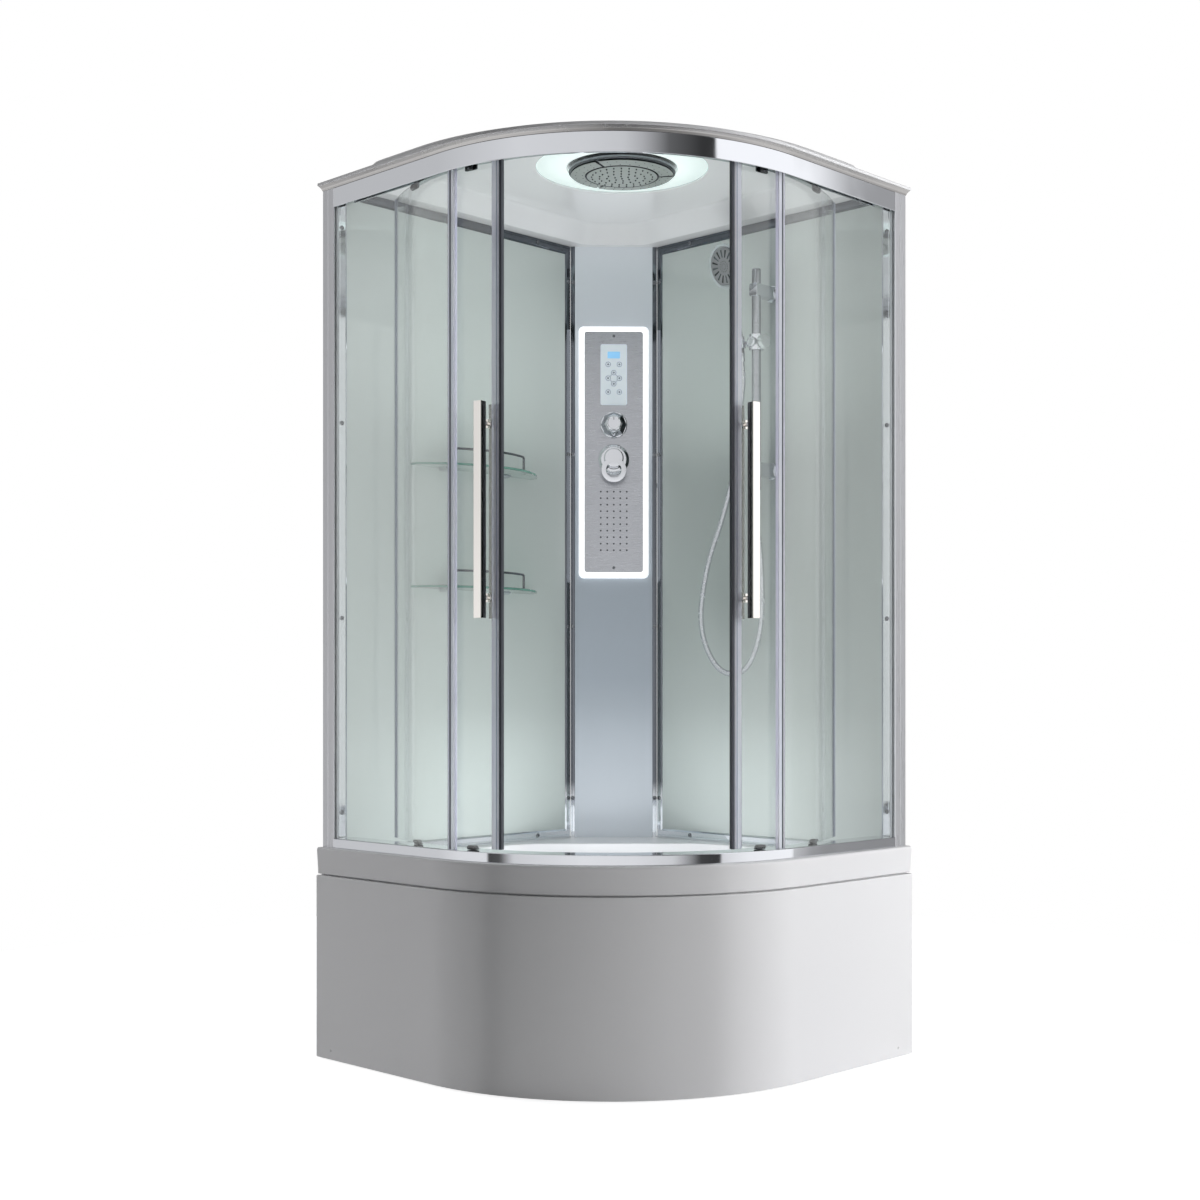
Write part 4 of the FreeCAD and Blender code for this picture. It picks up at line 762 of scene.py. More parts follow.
def make_roof():
    form = Form()
    outer = plan_rings(
        (66, 30, WALL_TOP), (66, 0, WALL_TOP), (66, 0, LIP_TOP - 3), (66.5, 0.8, LIP_TOP - 0.8),
        (67, 3, LIP_TOP), (73, 58, LIP_TOP), (76, 60, LIP_TOP + 0.8, 4, 4, CROWN_FLAT),
        (78, 62, LIP_TOP + 4, 6, 8, CROWN_FLAT), (94, 80, ROOF_TOP - 10, 16, 24, CROWN_FLAT),
        (98, 84, ROOF_TOP - 4, 18, 28, CROWN_FLAT), (103, 89, ROOF_TOP - 1, 20, 32, CROWN_FLAT),
        (112, 98, ROOF_TOP, 22, 34, CROWN_FLAT),
    )
    form.add(loft(outer, cap_start=False))
    ceiling = plan_rings(
        (66, 30, WALL_TOP), (96, 66, WALL_TOP, 118, 20), (100, 70, WALL_TOP + 1.5, 114, 20),
        (104, 74, WALL_TOP + 5, 111, 22), (142, 112, CEILING - 5, 88, 40), (148, 118, CEILING - 1.2, 84, 44),
        (156, 126, CEILING, 80, 48),
    )
    last = ceiling[-1]
    for radius, level in (
        (LIGHT_RADIUS + 2, CEILING), (LIGHT_RADIUS, CEILING + 1), (LIGHT_RADIUS, LIGHT_TOP),
    ):
        ceiling.append(circle_like(last, HEAD, radius, level))
    form.add(loft(ceiling, cap_start=False))
    first = len(form.faces)
    lip = softened([
        (20, TOP_RAIL_TOP), (17, TOP_RAIL_TOP + 4.6), (9, TOP_RAIL_TOP + 9), (6, TOP_RAIL_TOP + 9.5),
        (5, LIP_EDGE), (70, LIP_TOP), (70, LIP_TOP - 6), (87, LIP_TOP - 8), (87, TOP_RAIL_TOP),
    ], [0.6, 6, 1.5, 1.5, 3, 0.2, 0.2, 0.2, 0.6], 5)
    form.add(sweep(lip, front_run()))
    form.paint(1, lambda point: point.z < COVE_TOP, first)
    form.make("roof", [ACRYLIC, COVE], "canopy", "white_acrylic", angle=40)


POST_WIDTH = 42
RAIL_INSET, RAIL_DEPTH, RAIL_SKIN = 21, 66, 3
RAIL_END = HALF - POST_WIDTH
TRACK_RADIUS, TRACK_ANGLE, TRACK_FOOT, TRACK_TOP = 518, 63, 2012, 2015


def channel(foot, inner_foot, top, edges):
    """The section of a rail that is open below; its inner leg ends at inner_foot."""
    inner = RAIL_INSET + RAIL_DEPTH
    return softened([
        (RAIL_INSET, foot), (RAIL_INSET, top), (inner, top), (inner, inner_foot),
        (inner - RAIL_SKIN, inner_foot), (inner - RAIL_SKIN, top - RAIL_SKIN),
        (RAIL_INSET + RAIL_SKIN, top - RAIL_SKIN), (RAIL_INSET + RAIL_SKIN, foot),
    ], edges)


def make_rails():
    top = channel(TOP_RAIL_FOOT, TOP_RAIL_FOOT + 22, TOP_RAIL_TOP, [1.4, 1.6, 1.6] + [0.8] * 5)
    form = Form().add(sweep(top, front_run(-RAIL_END)))
    track = FRONT_RADIUS - TRACK_RADIUS
    ledge = softened([
        (track - 6, TRACK_FOOT), (track - 6, TRACK_TOP), (track + 6, TRACK_TOP),
        (track + 6, TOP_RAIL_TOP - 3), (track + 9, TOP_RAIL_TOP - 3), (track + 9, TRACK_FOOT),
    ], 0.6)
    form.add(sweep(ledge, arc_run(TRACK_ANGLE, -TRACK_ANGLE, 96)))
    form.make("upper_rail", CHROME_PROFILE, "top_rail", "chrome_profile", angle=35)
    low = channel(RIM_TOP, RIM_TOP, LOW_RAIL_TOP, [0.6, 1.8, 1.8] + [0.6] * 5)
    form = Form().add(sweep(low, front_run(-RAIL_END)))
    form.make("lower_rail", CHROME_PROFILE, "bottom_rail", "chrome_profile", angle=35)


# From the wall and from the post's face, with the softness of each corner
POST_SECTION = (
    (0, 0, 1.5), (19.5, 0, 0.4), (20, 1, 0.3), (22, 1, 0.3), (22.5, 0, 0.4), (POST_WIDTH, 0, 2.0),
    (POST_WIDTH, 5.6, 0.5), (30.5, 5.6, 0.3), (30.5, 11.4, 0.3), (POST_WIDTH, 11.4, 0.5),
    (POST_WIDTH, 19, 1.5), (0, 19, 1.0),
)


def both_sides(form, name, materials, node, slot, angle=32):
    """One piece on the left and its mirror image on the right."""
    form.make(name + "_left", materials, "left_" + node, slot, angle=angle)
    form.mirror().make(name + "_right", materials, "right_" + node, slot, angle=angle)


def make_posts():
    """Upright aluminium profiles with a fine groove in the face and a slot for the pane."""
    corners = [(-HALF + across, -HALF + RAIL_INSET + deep) for across, deep, edge in POST_SECTION]
    outline = softened(corners, [edge for across, deep, edge in POST_SECTION])
    form = Form().add(slab(outline, upright, RIM_TOP, TOP_RAIL_TOP, 0.4))
    both_sides(form, "post", SATIN_PROFILE, "post", "satin_profile")


PANE = 5
FIXED_INSET, FIXED_START, FIXED_END, FIXED_SEAL = 27, -470, 42.5, 40.3


def pane_section(near, far, ease):
    return softened(rectangle(near, LOW_RAIL_TOP, far, PANE_TOP), ease, 2)


def make_fixed_panes():
    stations = left_run(FIXED_START) + arc_run(45, FIXED_END, 6)
    pane = Form().add(sweep(pane_section(FIXED_INSET, FIXED_INSET + PANE, 0.7), stations))
    both_sides(pane, "pane", CLEAR, "fixed_glass", "clear_glass")
    inner = FIXED_INSET + PANE + 4
    strip = Form().add(sweep(pane_section(FIXED_INSET - 0.6, inner, 0.8), arc_run(42.4, 40.5, 6)))
    line = rectangle(FIXED_INSET - 1, LOW_RAIL_TOP + 1, FIXED_INSET + 0.2, PANE_TOP - 1)
    # A thin dark line on the seal: painted shade.
    strip.add(sweep(line, arc_run(41.8, 41.4, 2)), 1)
    strip.add(sweep(pane_section(FIXED_INSET + PANE, inner, 0.8), arc_run(40.5, FIXED_SEAL, 2)))
    strip.twin().make("pane_seals", [SEAL_CLEAR, SEAL_PAINTED_SHADE, SEAL_GREY], "fixed_glass_seals", "soft_seal")


DOOR_OUTER, DOOR_INNER = 533.5, 528.5
DOOR_LEAD, DOOR_TRAIL = 27.6, 74.0
HANDLE_ANGLE, HANDLE_OUTER, HANDLE_INNER, HANDLE_SIDE = 31.5, 564, 505, 20
HANDLE_FOOT, HANDLE_TOP, STANDOFF_INSET = 1020, 1486, 45
HANGER_ANGLES = (36.8, 58.5)
HANGER_HALF, HANGER_FOOT, HANGER_SHOULDER, HANGER_TOP = 17, 1997, 2012, 2028.8
GUIDE_HALF, GUIDE_FOOT, GUIDE_PIN, GUIDE_SHOULDER, GUIDE_TOP = 13, 517.4, 522.5, 523, 527.4
WHEEL_LEVEL, WHEEL_RADIUS, WHEEL_WIDTH = 2024.3, 9, 8


def ring_section(inner, outer, shorter=0.0, ease=0.7):
    """A door-high section between two radii, drawn in by shorter at both ends."""
    near, far = FRONT_RADIUS - outer, FRONT_RADIUS - inner
    return softened(rectangle(near, DOOR_FOOT + shorter, far, DOOR_HEAD - shorter), ease, 2)


def pin(start, end, angle, level, radius, sides=24, round_end=0.0):
    """A round bar between two radii that points out of the front."""
    return bar(polar(start, angle, level), polar(end, angle, level), radius, sides, round_end)


def door_pane():
    return Form().add(sweep(ring_section(DOOR_INNER, DOOR_OUTER), arc_run(73.3, 28.8, 64)))


def door_strips():
    """The leading seal, clear with a grey lip line and its edge darkened by painted shade, and the brush
    strip at the trailing edge.
    """
    full = ring_section(DOOR_INNER - 3, DOOR_OUTER + 3, 0, 1.2)
    line = ring_section(DOOR_OUTER + 2, DOOR_OUTER + 3.3, 0.4, 0.3)
    brush = ring_section(DOOR_INNER - 3, DOOR_OUTER + 1.5, 0, 0.8)
    form = Form()
    form.add(sweep(full, arc_run(30.2, 28.25, 8)), 0)
    # The last stretch at the leading edge takes the dark seal: painted shade.
    form.add(sweep(full, arc_run(28.25, DOOR_LEAD, 3)), 1)
    form.add(sweep(line, arc_run(29.0, 28.86, 2)), 2)
    form.add(sweep(brush, arc_run(DOOR_TRAIL, 72.6, 5)), 2)
    return form


def door_handle():
    """Two square bars with eased edges, joined through the pane by round standoffs with washers."""
    form = Form()
    half = HANDLE_SIDE / 2
    outline = softened([(-half, -half), (half, -half), (half, half), (-half, half)], 1.6, 4)
    along = outward(HANDLE_ANGLE)
    side = UP.cross(along)
    for radius in (HANDLE_OUTER, HANDLE_INNER):
        centre = polar(radius, HANDLE_ANGLE)

        def place(x, y, z, middle=centre):
            return middle + along * x + side * y + UP * z

        first = len(form.faces)
        form.add(slab(outline, place, HANDLE_FOOT, HANDLE_TOP, 1.2))
        # Painted dark reflection: the bars' side faces towards the opening, and the inner bar's face towards
        # the pane, take the darker chrome.
        form.paint(1, lambda point: (point - centre).dot(side) > half - 0.7, first)
        if radius == HANDLE_INNER:
            form.paint(1, lambda point: (point - centre).dot(along) > half - 0.7, first)
    for level in (HANDLE_FOOT + STANDOFF_INSET, HANDLE_TOP - STANDOFF_INSET):
        form.add(pin(HANDLE_INNER + 8, HANDLE_OUTER - 8, HANDLE_ANGLE, level, 5, 28, 1))
        form.add(pin(DOOR_OUTER + 0.1, DOOR_OUTER + 3.5, HANDLE_ANGLE, level, 10, 28, 1))
        form.add(pin(DOOR_INNER - 3.5, DOOR_INNER - 0.1, HANDLE_ANGLE, level, 10, 28, 1))
    return form


def door_hangers():
    """Roller plates with eased corners and cap nuts, clamp pads outside, and guides at the foot."""
    form = Form()
    half = math.degrees(HANGER_HALF / DOOR_INNER)
    plate = softened([
        (-half, HANGER_FOOT), (half, HANGER_FOOT), (half, HANGER_SHOULDER), (half * 0.45, HANGER_TOP),
        (-half * 0.45, HANGER_TOP), (-half, HANGER_SHOULDER),
    ], 1.5)
    pad_half, pad_top = half / 2, HANGER_FOOT + 10
    pad = softened([
        (-pad_half, HANGER_FOOT), (pad_half, HANGER_FOOT), (pad_half, pad_top), (-pad_half, pad_top),
    ], 2.0)
    reach = math.degrees(GUIDE_HALF / DOOR_INNER)
    guide = softened([
        (-reach, GUIDE_FOOT), (reach, GUIDE_FOOT), (reach, GUIDE_SHOULDER), (reach * 0.6, GUIDE_TOP),
        (-reach * 0.6, GUIDE_TOP), (-reach, GUIDE_SHOULDER),
    ], 1.5)
    for angle in HANGER_ANGLES:

        def place(x, z, radius, centre=angle):
            return polar(radius, centre + x, z)

        form.add(slab(plate, place, DOOR_INNER - 2.9, DOOR_INNER - 0.1), 1)
        form.add(slab(pad, place, DOOR_OUTER + 0.1, DOOR_OUTER + 5), 0)
        form.add(pin(DOOR_OUTER + 1, DOOR_OUTER + 5.6, angle, HANGER_FOOT + 5, 4, 20, 1), 1)
        form.add(pin(TRACK_RADIUS - 5.5, DOOR_INNER - 1, angle, WHEEL_LEVEL, 2.5, 16), 1)
        form.add(pin(DOOR_INNER - 3.4, DOOR_INNER - 2, angle, WHEEL_LEVEL, 4.5, 6), 1)
        form.add(slab(guide, place, DOOR_INNER - 12, DOOR_INNER - 0.1, 0.6), 0)
        form.add(pin(DOOR_INNER - 12.4, DOOR_INNER - 11, angle, GUIDE_PIN, 3, 16, 0.6), 1)
    return form


def door_wheel(angle):
    """A grooved roller with a hub ring, bored for its axle."""
    back = TRACK_RADIUS - WHEEL_WIDTH / 2
    profile = [
        (0.6, 2.6), (0.3, 4.6), (0.9, 5), (0.9, 7), (0.2, 7.6), (0.4, WHEEL_RADIUS - 0.3),
        (0.9, WHEEL_RADIUS), (2.4, WHEEL_RADIUS), (4, WHEEL_RADIUS - 1.2), (5.6, WHEEL_RADIUS),
        (7.2, WHEEL_RADIUS), (7.7, WHEEL_RADIUS - 0.4), (7.8, 7.6), (7.1, 7), (7.1, 5), (7.7, 4.6),
        (7.4, 2.6), (0.6, 2.6),
    ]
    return Form().add(lathe(profile, polar(back, angle, WHEEL_LEVEL), outward(angle), 40))


def make_doors():
    for side in ("left", "right"):
        body = side + "_door"

        def add(form, name, materials, node, slot, rides=body):
            chosen = form if side == "left" else form.mirror()
            chosen.make(side + name, materials, node, slot, rides)

        add(door_pane(), "_pane", CLEAR, body + "_glass", "clear_glass")
        add(door_strips(), "_strips", [SEAL_CLEAR, SEAL_PAINTED_SHADE, SEAL_GREY], body + "_profiles", "soft_seal")
        add(door_handle(), "_pull", [HANDLE, HANDLE_PAINTED_REFLECTION], body + "_handle", "handle_chrome")
        add(door_hangers(), "_hangers", [ROLLER, CHROME_DARK], body + "_hangers", "roller_plastic")
        for end, angle in zip(("_front", "_rear"), HANGER_ANGLES):
            wheel = side + end + "_wheel"
            add(door_wheel(angle), end + "_roller", ROLLER, wheel, "roller_plastic", wheel)


# Wall panels, column and its fittings
WALL_FRONT, WALL_REAR = -460, 306
STILE, REAR_STILE, MEMBER = 34, 17, 23
# How far into the frame, as a share of its width, and how far from the room's wall
WALL_FRAME_SECTION = (
    (0, 0), (0, 28.6), (0.06, 30), (0.26, 30), (0.29, 29.2), (0.33, 29.2), (0.36, 30), (0.8, 30),
    (0.86, 28.5), (0.97, 27), (1, 26.4), (1, 0),
)


def dress(node, material):
    """Gives a frame node that keeps its own shape its material."""
    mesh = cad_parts[node].data
    mesh.materials.clear()
    mesh.materials.append(material)


def make_walls():
    """Mitred frames with a raised outer face, a fine groove and a bead that holds the pane."""
    rings = []
    for share, depth in WALL_FRAME_SECTION:
        front, rear = WALL_FRONT + STILE * share, WALL_REAR - REAR_STILE * share
        foot, top = LEDGE + MEMBER * share, WALL_TOP - MEMBER * share
        corners = ((front, foot), (rear, foot), (rear, top), (front, top))
        rings.append([Vector((-HALF + depth, y, z)) for y, z in corners])
    form = Form().add(loft(rings, closed=True))
    # Painted light: the front stile takes the plain bright chrome, the rest of the frame the copy whose
    # painted reflection darkens it above.
    form.paint(1, lambda point: point.y < WALL_FRONT + STILE + 1)
    both_sides(form, "wall_frame", [FRAME_CHROME_PAINTED_REFLECTION, CHROME_PROFILE], "wall_frame", "chrome_profile", 20)
    for node in ("left_wall_glass", "right_wall_glass"):
        dress(node, PAINTED)


STRIP_OUTER, STRIP_INNER = 115.97, 103.97
LED_WIDE, LED_FOOT, LED_TOP, LED_BAND, LED_EDGE_BAND = 188, 1166, 1840, 26, 9
PLATE_OUT = 16


def make_column():
    dress("corner_panel", COLUMN)
    outline = softened([
        (-STRIP_OUTER, 0), (-STRIP_OUTER + 3.6, 0), (-STRIP_OUTER + 4, 1), (-STRIP_OUTER + 5, 1),
        (-STRIP_OUTER + 5.4, 0), (-STRIP_INNER, 0), (-STRIP_INNER, 10), (-STRIP_OUTER, 10),
    ], [1.2, 0.3, 0.2, 0.2, 0.3, 1.6, 0.5, 0.5])
    form = Form().add(slab(outline, on_column, LEDGE, WALL_TOP, 0.3))
    # The column's strips take the chrome whose painted reflection darkens it above.
    form.twin().make("column_edges", FRAME_CHROME_PAINTED_REFLECTION, "column_strips", "chrome_profile")


def make_led_frame():
    middle, high = (LED_FOOT + LED_TOP) / 2, LED_TOP - LED_FOOT
    rings = []
    for inset, out, corner in (
        (0, 0, 14), (0, 8.5, 14), (1, 10.8, 13), (3.4, 12, 11), (LED_EDGE_BAND, 12, 9), (LED_BAND - 2, 12, 4),
        (LED_BAND, 10.5, 3), (LED_BAND, 0, 3),
    ):
        outline = rounded_rectangle(LED_WIDE - 2 * inset, high - 2 * inset, corner, 8)
        rings.append([on_column(point.x, -out, middle + point.y) for point in outline])
    form = Form().add(loft(rings, closed=True))
    form.slots = [1 if 0 < index // len(rings[0]) < 4 else 0 for index in range(len(form.faces))]
    form.make("light_frame", [LED, LED_EDGE], "led_frame", "light_diffuser")


def screw(place, out, radius=5.5, proud=2.5):
    profile = [
        (-0.2, 0), (-0.2, radius), (proud * 0.4, radius), (proud * 0.7, radius * 0.86),
        (proud * 0.92, radius * 0.6), (proud, radius * 0.34), (proud - 0.8, radius * 0.3), (proud - 0.8, 0),
    ]
    return lathe(profile, place, out, 24)


def wall_screw(y, level):
    return screw(Vector((-HALF + WALL_DEPTH, y, level)), Vector((1, 0, 0)))


def make_caps():
    """Domed screw heads at the places of the frame's own."""
    form = Form()
    for level in (576, 1036, 1498, 1960):
        form.add(wall_screw(WALL_FRONT + STILE / 2, level))
        form.add(wall_screw(WALL_REAR - REAR_STILE / 2, level))
        form.add(screw(on_column(-(STRIP_OUTER + STRIP_INNER) / 2, 0, level), COLUMN_OUT))
    for y in (187, -365):
        for level in (WALL_TOP - MEMBER / 2, LEDGE + MEMBER / 2):
            form.add(wall_screw(y, level))
    form.add(screw(Vector((-440, -HALF + 2.4, 24)), Vector((0, -1, 0))))
    form.twin()
    for level in (1193, 1813):
        form.add(screw(on_column(0, -PLATE_OUT, level), COLUMN_OUT, 4, 1.5))
    form.make("screws", CHROME_DARK, "screw_caps", "fitting_chrome")


def column_slab(outline, x, z, near, far, ease=0.4):
    """A flat shape on the column's face between two distances in front of it."""
    return slab(outline, lambda u, v, out: on_column(x + u, -out, z + v), near, far, ease)


KEY_PLACES = ((-15, 1737), (15, 1737), (0, 1715), (-15, 1700), (15, 1700), (0, 1685), (-15, 1663), (15, 1663))
CROSS_KEYS = ((0, 1715), (15, 1700), (0, 1685), (-15, 1700))
KEYPAD_LEVEL, DISPLAY_LEVEL = 1709.5, 1762


def make_keypad():
    """A film with a display and eight ring keys, four of them joined by lines."""
    film, shown = rounded_rectangle(71, 163, 5), rounded_rectangle(33, 18, 1.5)
    form = Form().add(column_slab(film, 0, KEYPAD_LEVEL, PLATE_OUT + 0.02, PLATE_OUT + 2, 0.5), 0)
    form.add(column_slab(shown, 0, DISPLAY_LEVEL, PLATE_OUT + 1.6, PLATE_OUT + 2.15, 0.1), 2)
    ring = [(-0.3, 5.6), (0.3, 5.8), (0.38, 6.2), (0.3, 6.7), (-0.3, 7), (-0.3, 5.6)]
    dot = [(-0.3, 0), (-0.3, 2.6), (0.15, 2.4), (0.2, 0)]
    for x, z in KEY_PLACES:
        centre = on_column(x, -PLATE_OUT - 2, z)
        form.add(lathe(ring, centre, COLUMN_OUT, 28), 1)
        form.add(lathe(dot, centre, COLUMN_OUT, 20), 1)
    for start, end in zip(CROSS_KEYS, CROSS_KEYS[1:] + CROSS_KEYS[:1]):
        start, end = Vector(start), Vector(end)
        along = (end - start).normalized()
        side = Vector((-along.y, along.x)) * 0.45
        inner_start, inner_end = start + along * 7.4, end - along * 7.4
        line = [inner_start + side, inner_end + side, inner_end - side, inner_start - side]
        form.add(column_slab(line, 0, 0, PLATE_OUT + 1.7, PLATE_OUT + 2.1, 0), 1)
    form.make("touch_panel", [KEYPAD, KEY, DISPLAY], "keypad", "keypad_film")


DIVERTER_LEVEL, MIXER_LEVEL = 1575, 1482
DIVERTER_FOOT = PLATE_OUT + 0.3
# Faces towards the column's side take the darker chrome: a painted dark reflection.
PAINTED_REFLECTION_FLANK = {"angle": 28, "flank": COLUMN_SIDE}


def make_diverter():
    """An eight-sided knob that narrows outwards, with a round flange and cap."""
    centre = on_column(0, -DIVERTER_FOOT, DIVERTER_LEVEL)
    flange = [(0, 0), (0, 35.4), (0.6, 36), (3, 36), (5.2, 35.2), (6, 34), (6, 0)]
    form = Form().add(lathe(flange, centre, COLUMN_OUT, 72))
    sector = math.pi / 4
    rings = []
    for along, radius, round_share in (
        (5.8, 34.6, 0.0), (9, 34.0, 0.0), (20, 27.5, 0.1), (24.5, 24.2, 0.3), (26, 22.4, 0.6), (26, 18, 1),
    ):
        near = radius * math.cos(sector / 2)
        ring = []
        for turn in circle_turns(64, 0.5):
            flat = near / math.cos(turn % sector - sector / 2)
            size = flat * (1 - round_share) + near * round_share
            level = DIVERTER_LEVEL + size * math.sin(turn)
            ring.append(on_column(size * math.cos(turn), -DIVERTER_FOOT - along, level))
        rings.append(ring)
    form.add(loft(rings))
    cap = [(20, 0), (20, 20.2), (36, 20.5), (38.6, 19.8), (39.8, 18), (40, 16.5), (39.4, 15.6), (39.2, 0)]
    form.add(lathe(cap, centre, COLUMN_OUT, 64))
    mark = [(-0.8, 8), (0.8, 8), (0.8, 15), (-0.8, 15)]
    form.add(column_slab(mark, 0, DIVERTER_LEVEL, PLATE_OUT + 39, PLATE_OUT + 39.9, 0.1), 1)
    form.make("turn_knob", [CHROME, CHROME_MARK_AND_PAINTED_REFLECTION], "diverter_knob", "fitting_chrome", "diverter", **PAINTED_REFLECTION_FLANK)


def make_mixer():
    rose = [
        (0, 20), (0, 40.6), (0.8, 41), (3, 41), (4.4, 39.6), (5, 38.6), (7.8, 34.8), (8.7, 33.4), (9, 32),
        (9, 20.6), (8.4, 20), (0, 20),
    ]
    form = Form().add(lathe(rose, on_column(0, -PLATE_OUT, MIXER_LEVEL), COLUMN_OUT, 72))
    form.make("mixer_rose", [CHROME, CHROME_MARK_AND_PAINTED_REFLECTION], "mixer_escutcheon", "fitting_chrome", **PAINTED_REFLECTION_FLANK)
    dress("mixer_cartridge", CHROME)
    cap = [
        (1.5, 0), (1.5, 21.5), (-1, 22.6), (-21, 22.6), (-21, 25.4), (-20.4, 26), (-0.8, 26), (0.6, 25.4),
        (1.5, 24.2), (2.1, 23.4), (2.3, 21.6), (2.4, 0),
    ]
    form = Form().add(lathe(cap, on_column(0, -55, MIXER_LEVEL), COLUMN_OUT, 64))
    ring = [
        (0, 20.8), (0.6, 20.1), (5.4, 20.1), (6, 20.8), (6, 31.6), (5.4, 32.8), (4.4, 33), (1.6, 33),
        (0.6, 32.8), (0, 31.6), (0, 20.8),
    ]
    form.add(lathe(ring, on_column(0, -51.5, MIXER_LEVEL - 32), COLUMN_OUT, 72))
    for side in (-1, 1):
        inner, outer = (on_column(side * away, -44.5, MIXER_LEVEL) for away in (9.6, 21.8))
        form.add(bar(inner, outer, 5.5, 24))
    form.make("mixer_handle", [CHROME, CHROME_MARK_AND_PAINTED_REFLECTION], "mixer_lever", "fitting_chrome", "lever", **PAINTED_REFLECTION_FLANK)


HEAD_CENTRE = HEAD + UP * 2087
NOZZLE_RINGS = ((1, 0), (6, 18), (12, 36), (19, 54), (25, 72))
RIM_NOZZLE_RINGS = ((26, 94), (31, 110))


def nozzle(radius, turn, level, reach=3.2):
    """A soft nozzle under the shower head, at a place about its axis."""
    place = HEAD_CENTRE + Vector((radius * math.cos(turn), radius * math.sin(turn), level))
    return lathe([(0, 0), (0, 2.4), (reach * 0.7, 1.5), (reach, 1.1), (reach, 0)], place, -UP, 10)


def make_overhead():
    """The shower head: a thin disc with a rolled rim, three rim segments and a crowned middle."""
    profile = [
        (-5.5, 84.5), (-5.2, 88), (-3.6, 104), (-1.6, 117), (-0.4, 122.6), (0.4, 125), (2, 126.6), (4.4, 127),
        (7, 126.6), (8.6, 125), (9, 122), (12, 84), (12, 10), (32, 10), (32, 0), (3, 0), (-2.6, 84),
        (-5.5, 84.5),
    ]
    form = Form().add(lathe(profile, HEAD_CENTRE, UP, 128), 0)
    rib = [(-6.1, 88), (-3.9, 120), (-3.4, 121), (-3.2, 120), (-5.0, 88), (-6.1, 88)]
    for start in (2, 122, 242):
        form.add(lathe(rib, HEAD_CENTRE, UP, 48, start, start + 116), 2)
    form.add(bar(HEAD + UP * 2115, HEAD + UP * 2123, 17, 6, 0.8), 0)
    form.make("rain_head", [CHROME_DARK, CHROME, HEAD_FACE], "overhead_shower", "fitting_chrome")
    face = [(3, 0), (-2.6, 83.6), (-5.5, 84), (-6.6, 83.4), (-8.3, 64), (-9.3, 42), (-9.9, 20), (-10, 0)]
    groove = [(-5.2, 84), (-6.5, 85.4), (-7.2, 84.6), (-7.0, 83.2), (-5.2, 84)]
    plate = Form().add(lathe(face, HEAD_CENTRE, UP, 96), 0).add(lathe(groove, HEAD_CENTRE, UP, 96), 1)
    for count, radius in NOZZLE_RINGS:
        level = -(10 - 3.7 * (radius / 84) ** 2) + 0.6
        for turn in circle_turns(count, 0.37 * (radius % 5)):
            plate.add(nozzle(radius, turn, level), 1)
    plate.make("rain_plate", [HEAD_FACE, RUBBER_DARK], "nozzle_plate", "grey_rubber")
    outer = Form()
    for count, radius in RIM_NOZZLE_RINGS:
        for turn in circle_turns(count, 0.5):
            outer.add(nozzle(radius, turn, -4.6 + 2.6 * (radius - 88) / 32, 2.2))
    outer.make("rain_nozzles", RUBBER_DARK, "nozzle_plate", "grey_rubber")


def make_ceiling_light():
    rim = LIGHT_RADIUS - 0.4
    profile = [
        (0.4, LIGHT_INNER), (1.2, LIGHT_INNER + 12), (3.0, 168), (4.4, 190), (5, rim), (9, rim),
        (9, LIGHT_INNER), (0.4, LIGHT_INNER),
    ]
    form = Form().add(lathe(profile, HEAD + UP * CEILING, UP, 128))
    form.make("halo", CEILING_GLOW, "ceiling_light", "light_diffuser")


# Slide bar, slider, holder and handset on the right wall
BAR_X, BAR_Y, BAR_RADIUS, BAR_FOOT, BAR_TOP = 92, 410, 11.5, 1366, 1920
SLIDER_LEVEL = 1735
TAIL = Vector((58, 390, 1703))
FACE_TURN, FACE_NOD = math.radians(6.5), math.radians(15.6)
FACE = Vector((37, 352, 1925))
FACE_OUT = Vector((
    -math.sin(FACE_TURN) * math.cos(FACE_NOD), -math.cos(FACE_TURN) * math.cos(FACE_NOD), -math.sin(FACE_NOD),
))
GRIP_TOP = FACE - FACE_OUT * 14
GRIP, GRIP_LENGTH = (GRIP_TOP - TAIL).normalized(), (GRIP_TOP - TAIL).length
HOLDER_OPENING = 56
FRONT = Vector((0, -1, 0))
BRACKET_LEVELS = ((1850, 1882), (1400, 1436))
BRACKET_LEFT, BRACKET_RIGHT, BRACKET_FRONT, BRACKET_BACK = 79, 105, 397.2, 473.9
OUTLET_LEVEL, OUTLET_END = 1418, 489.5


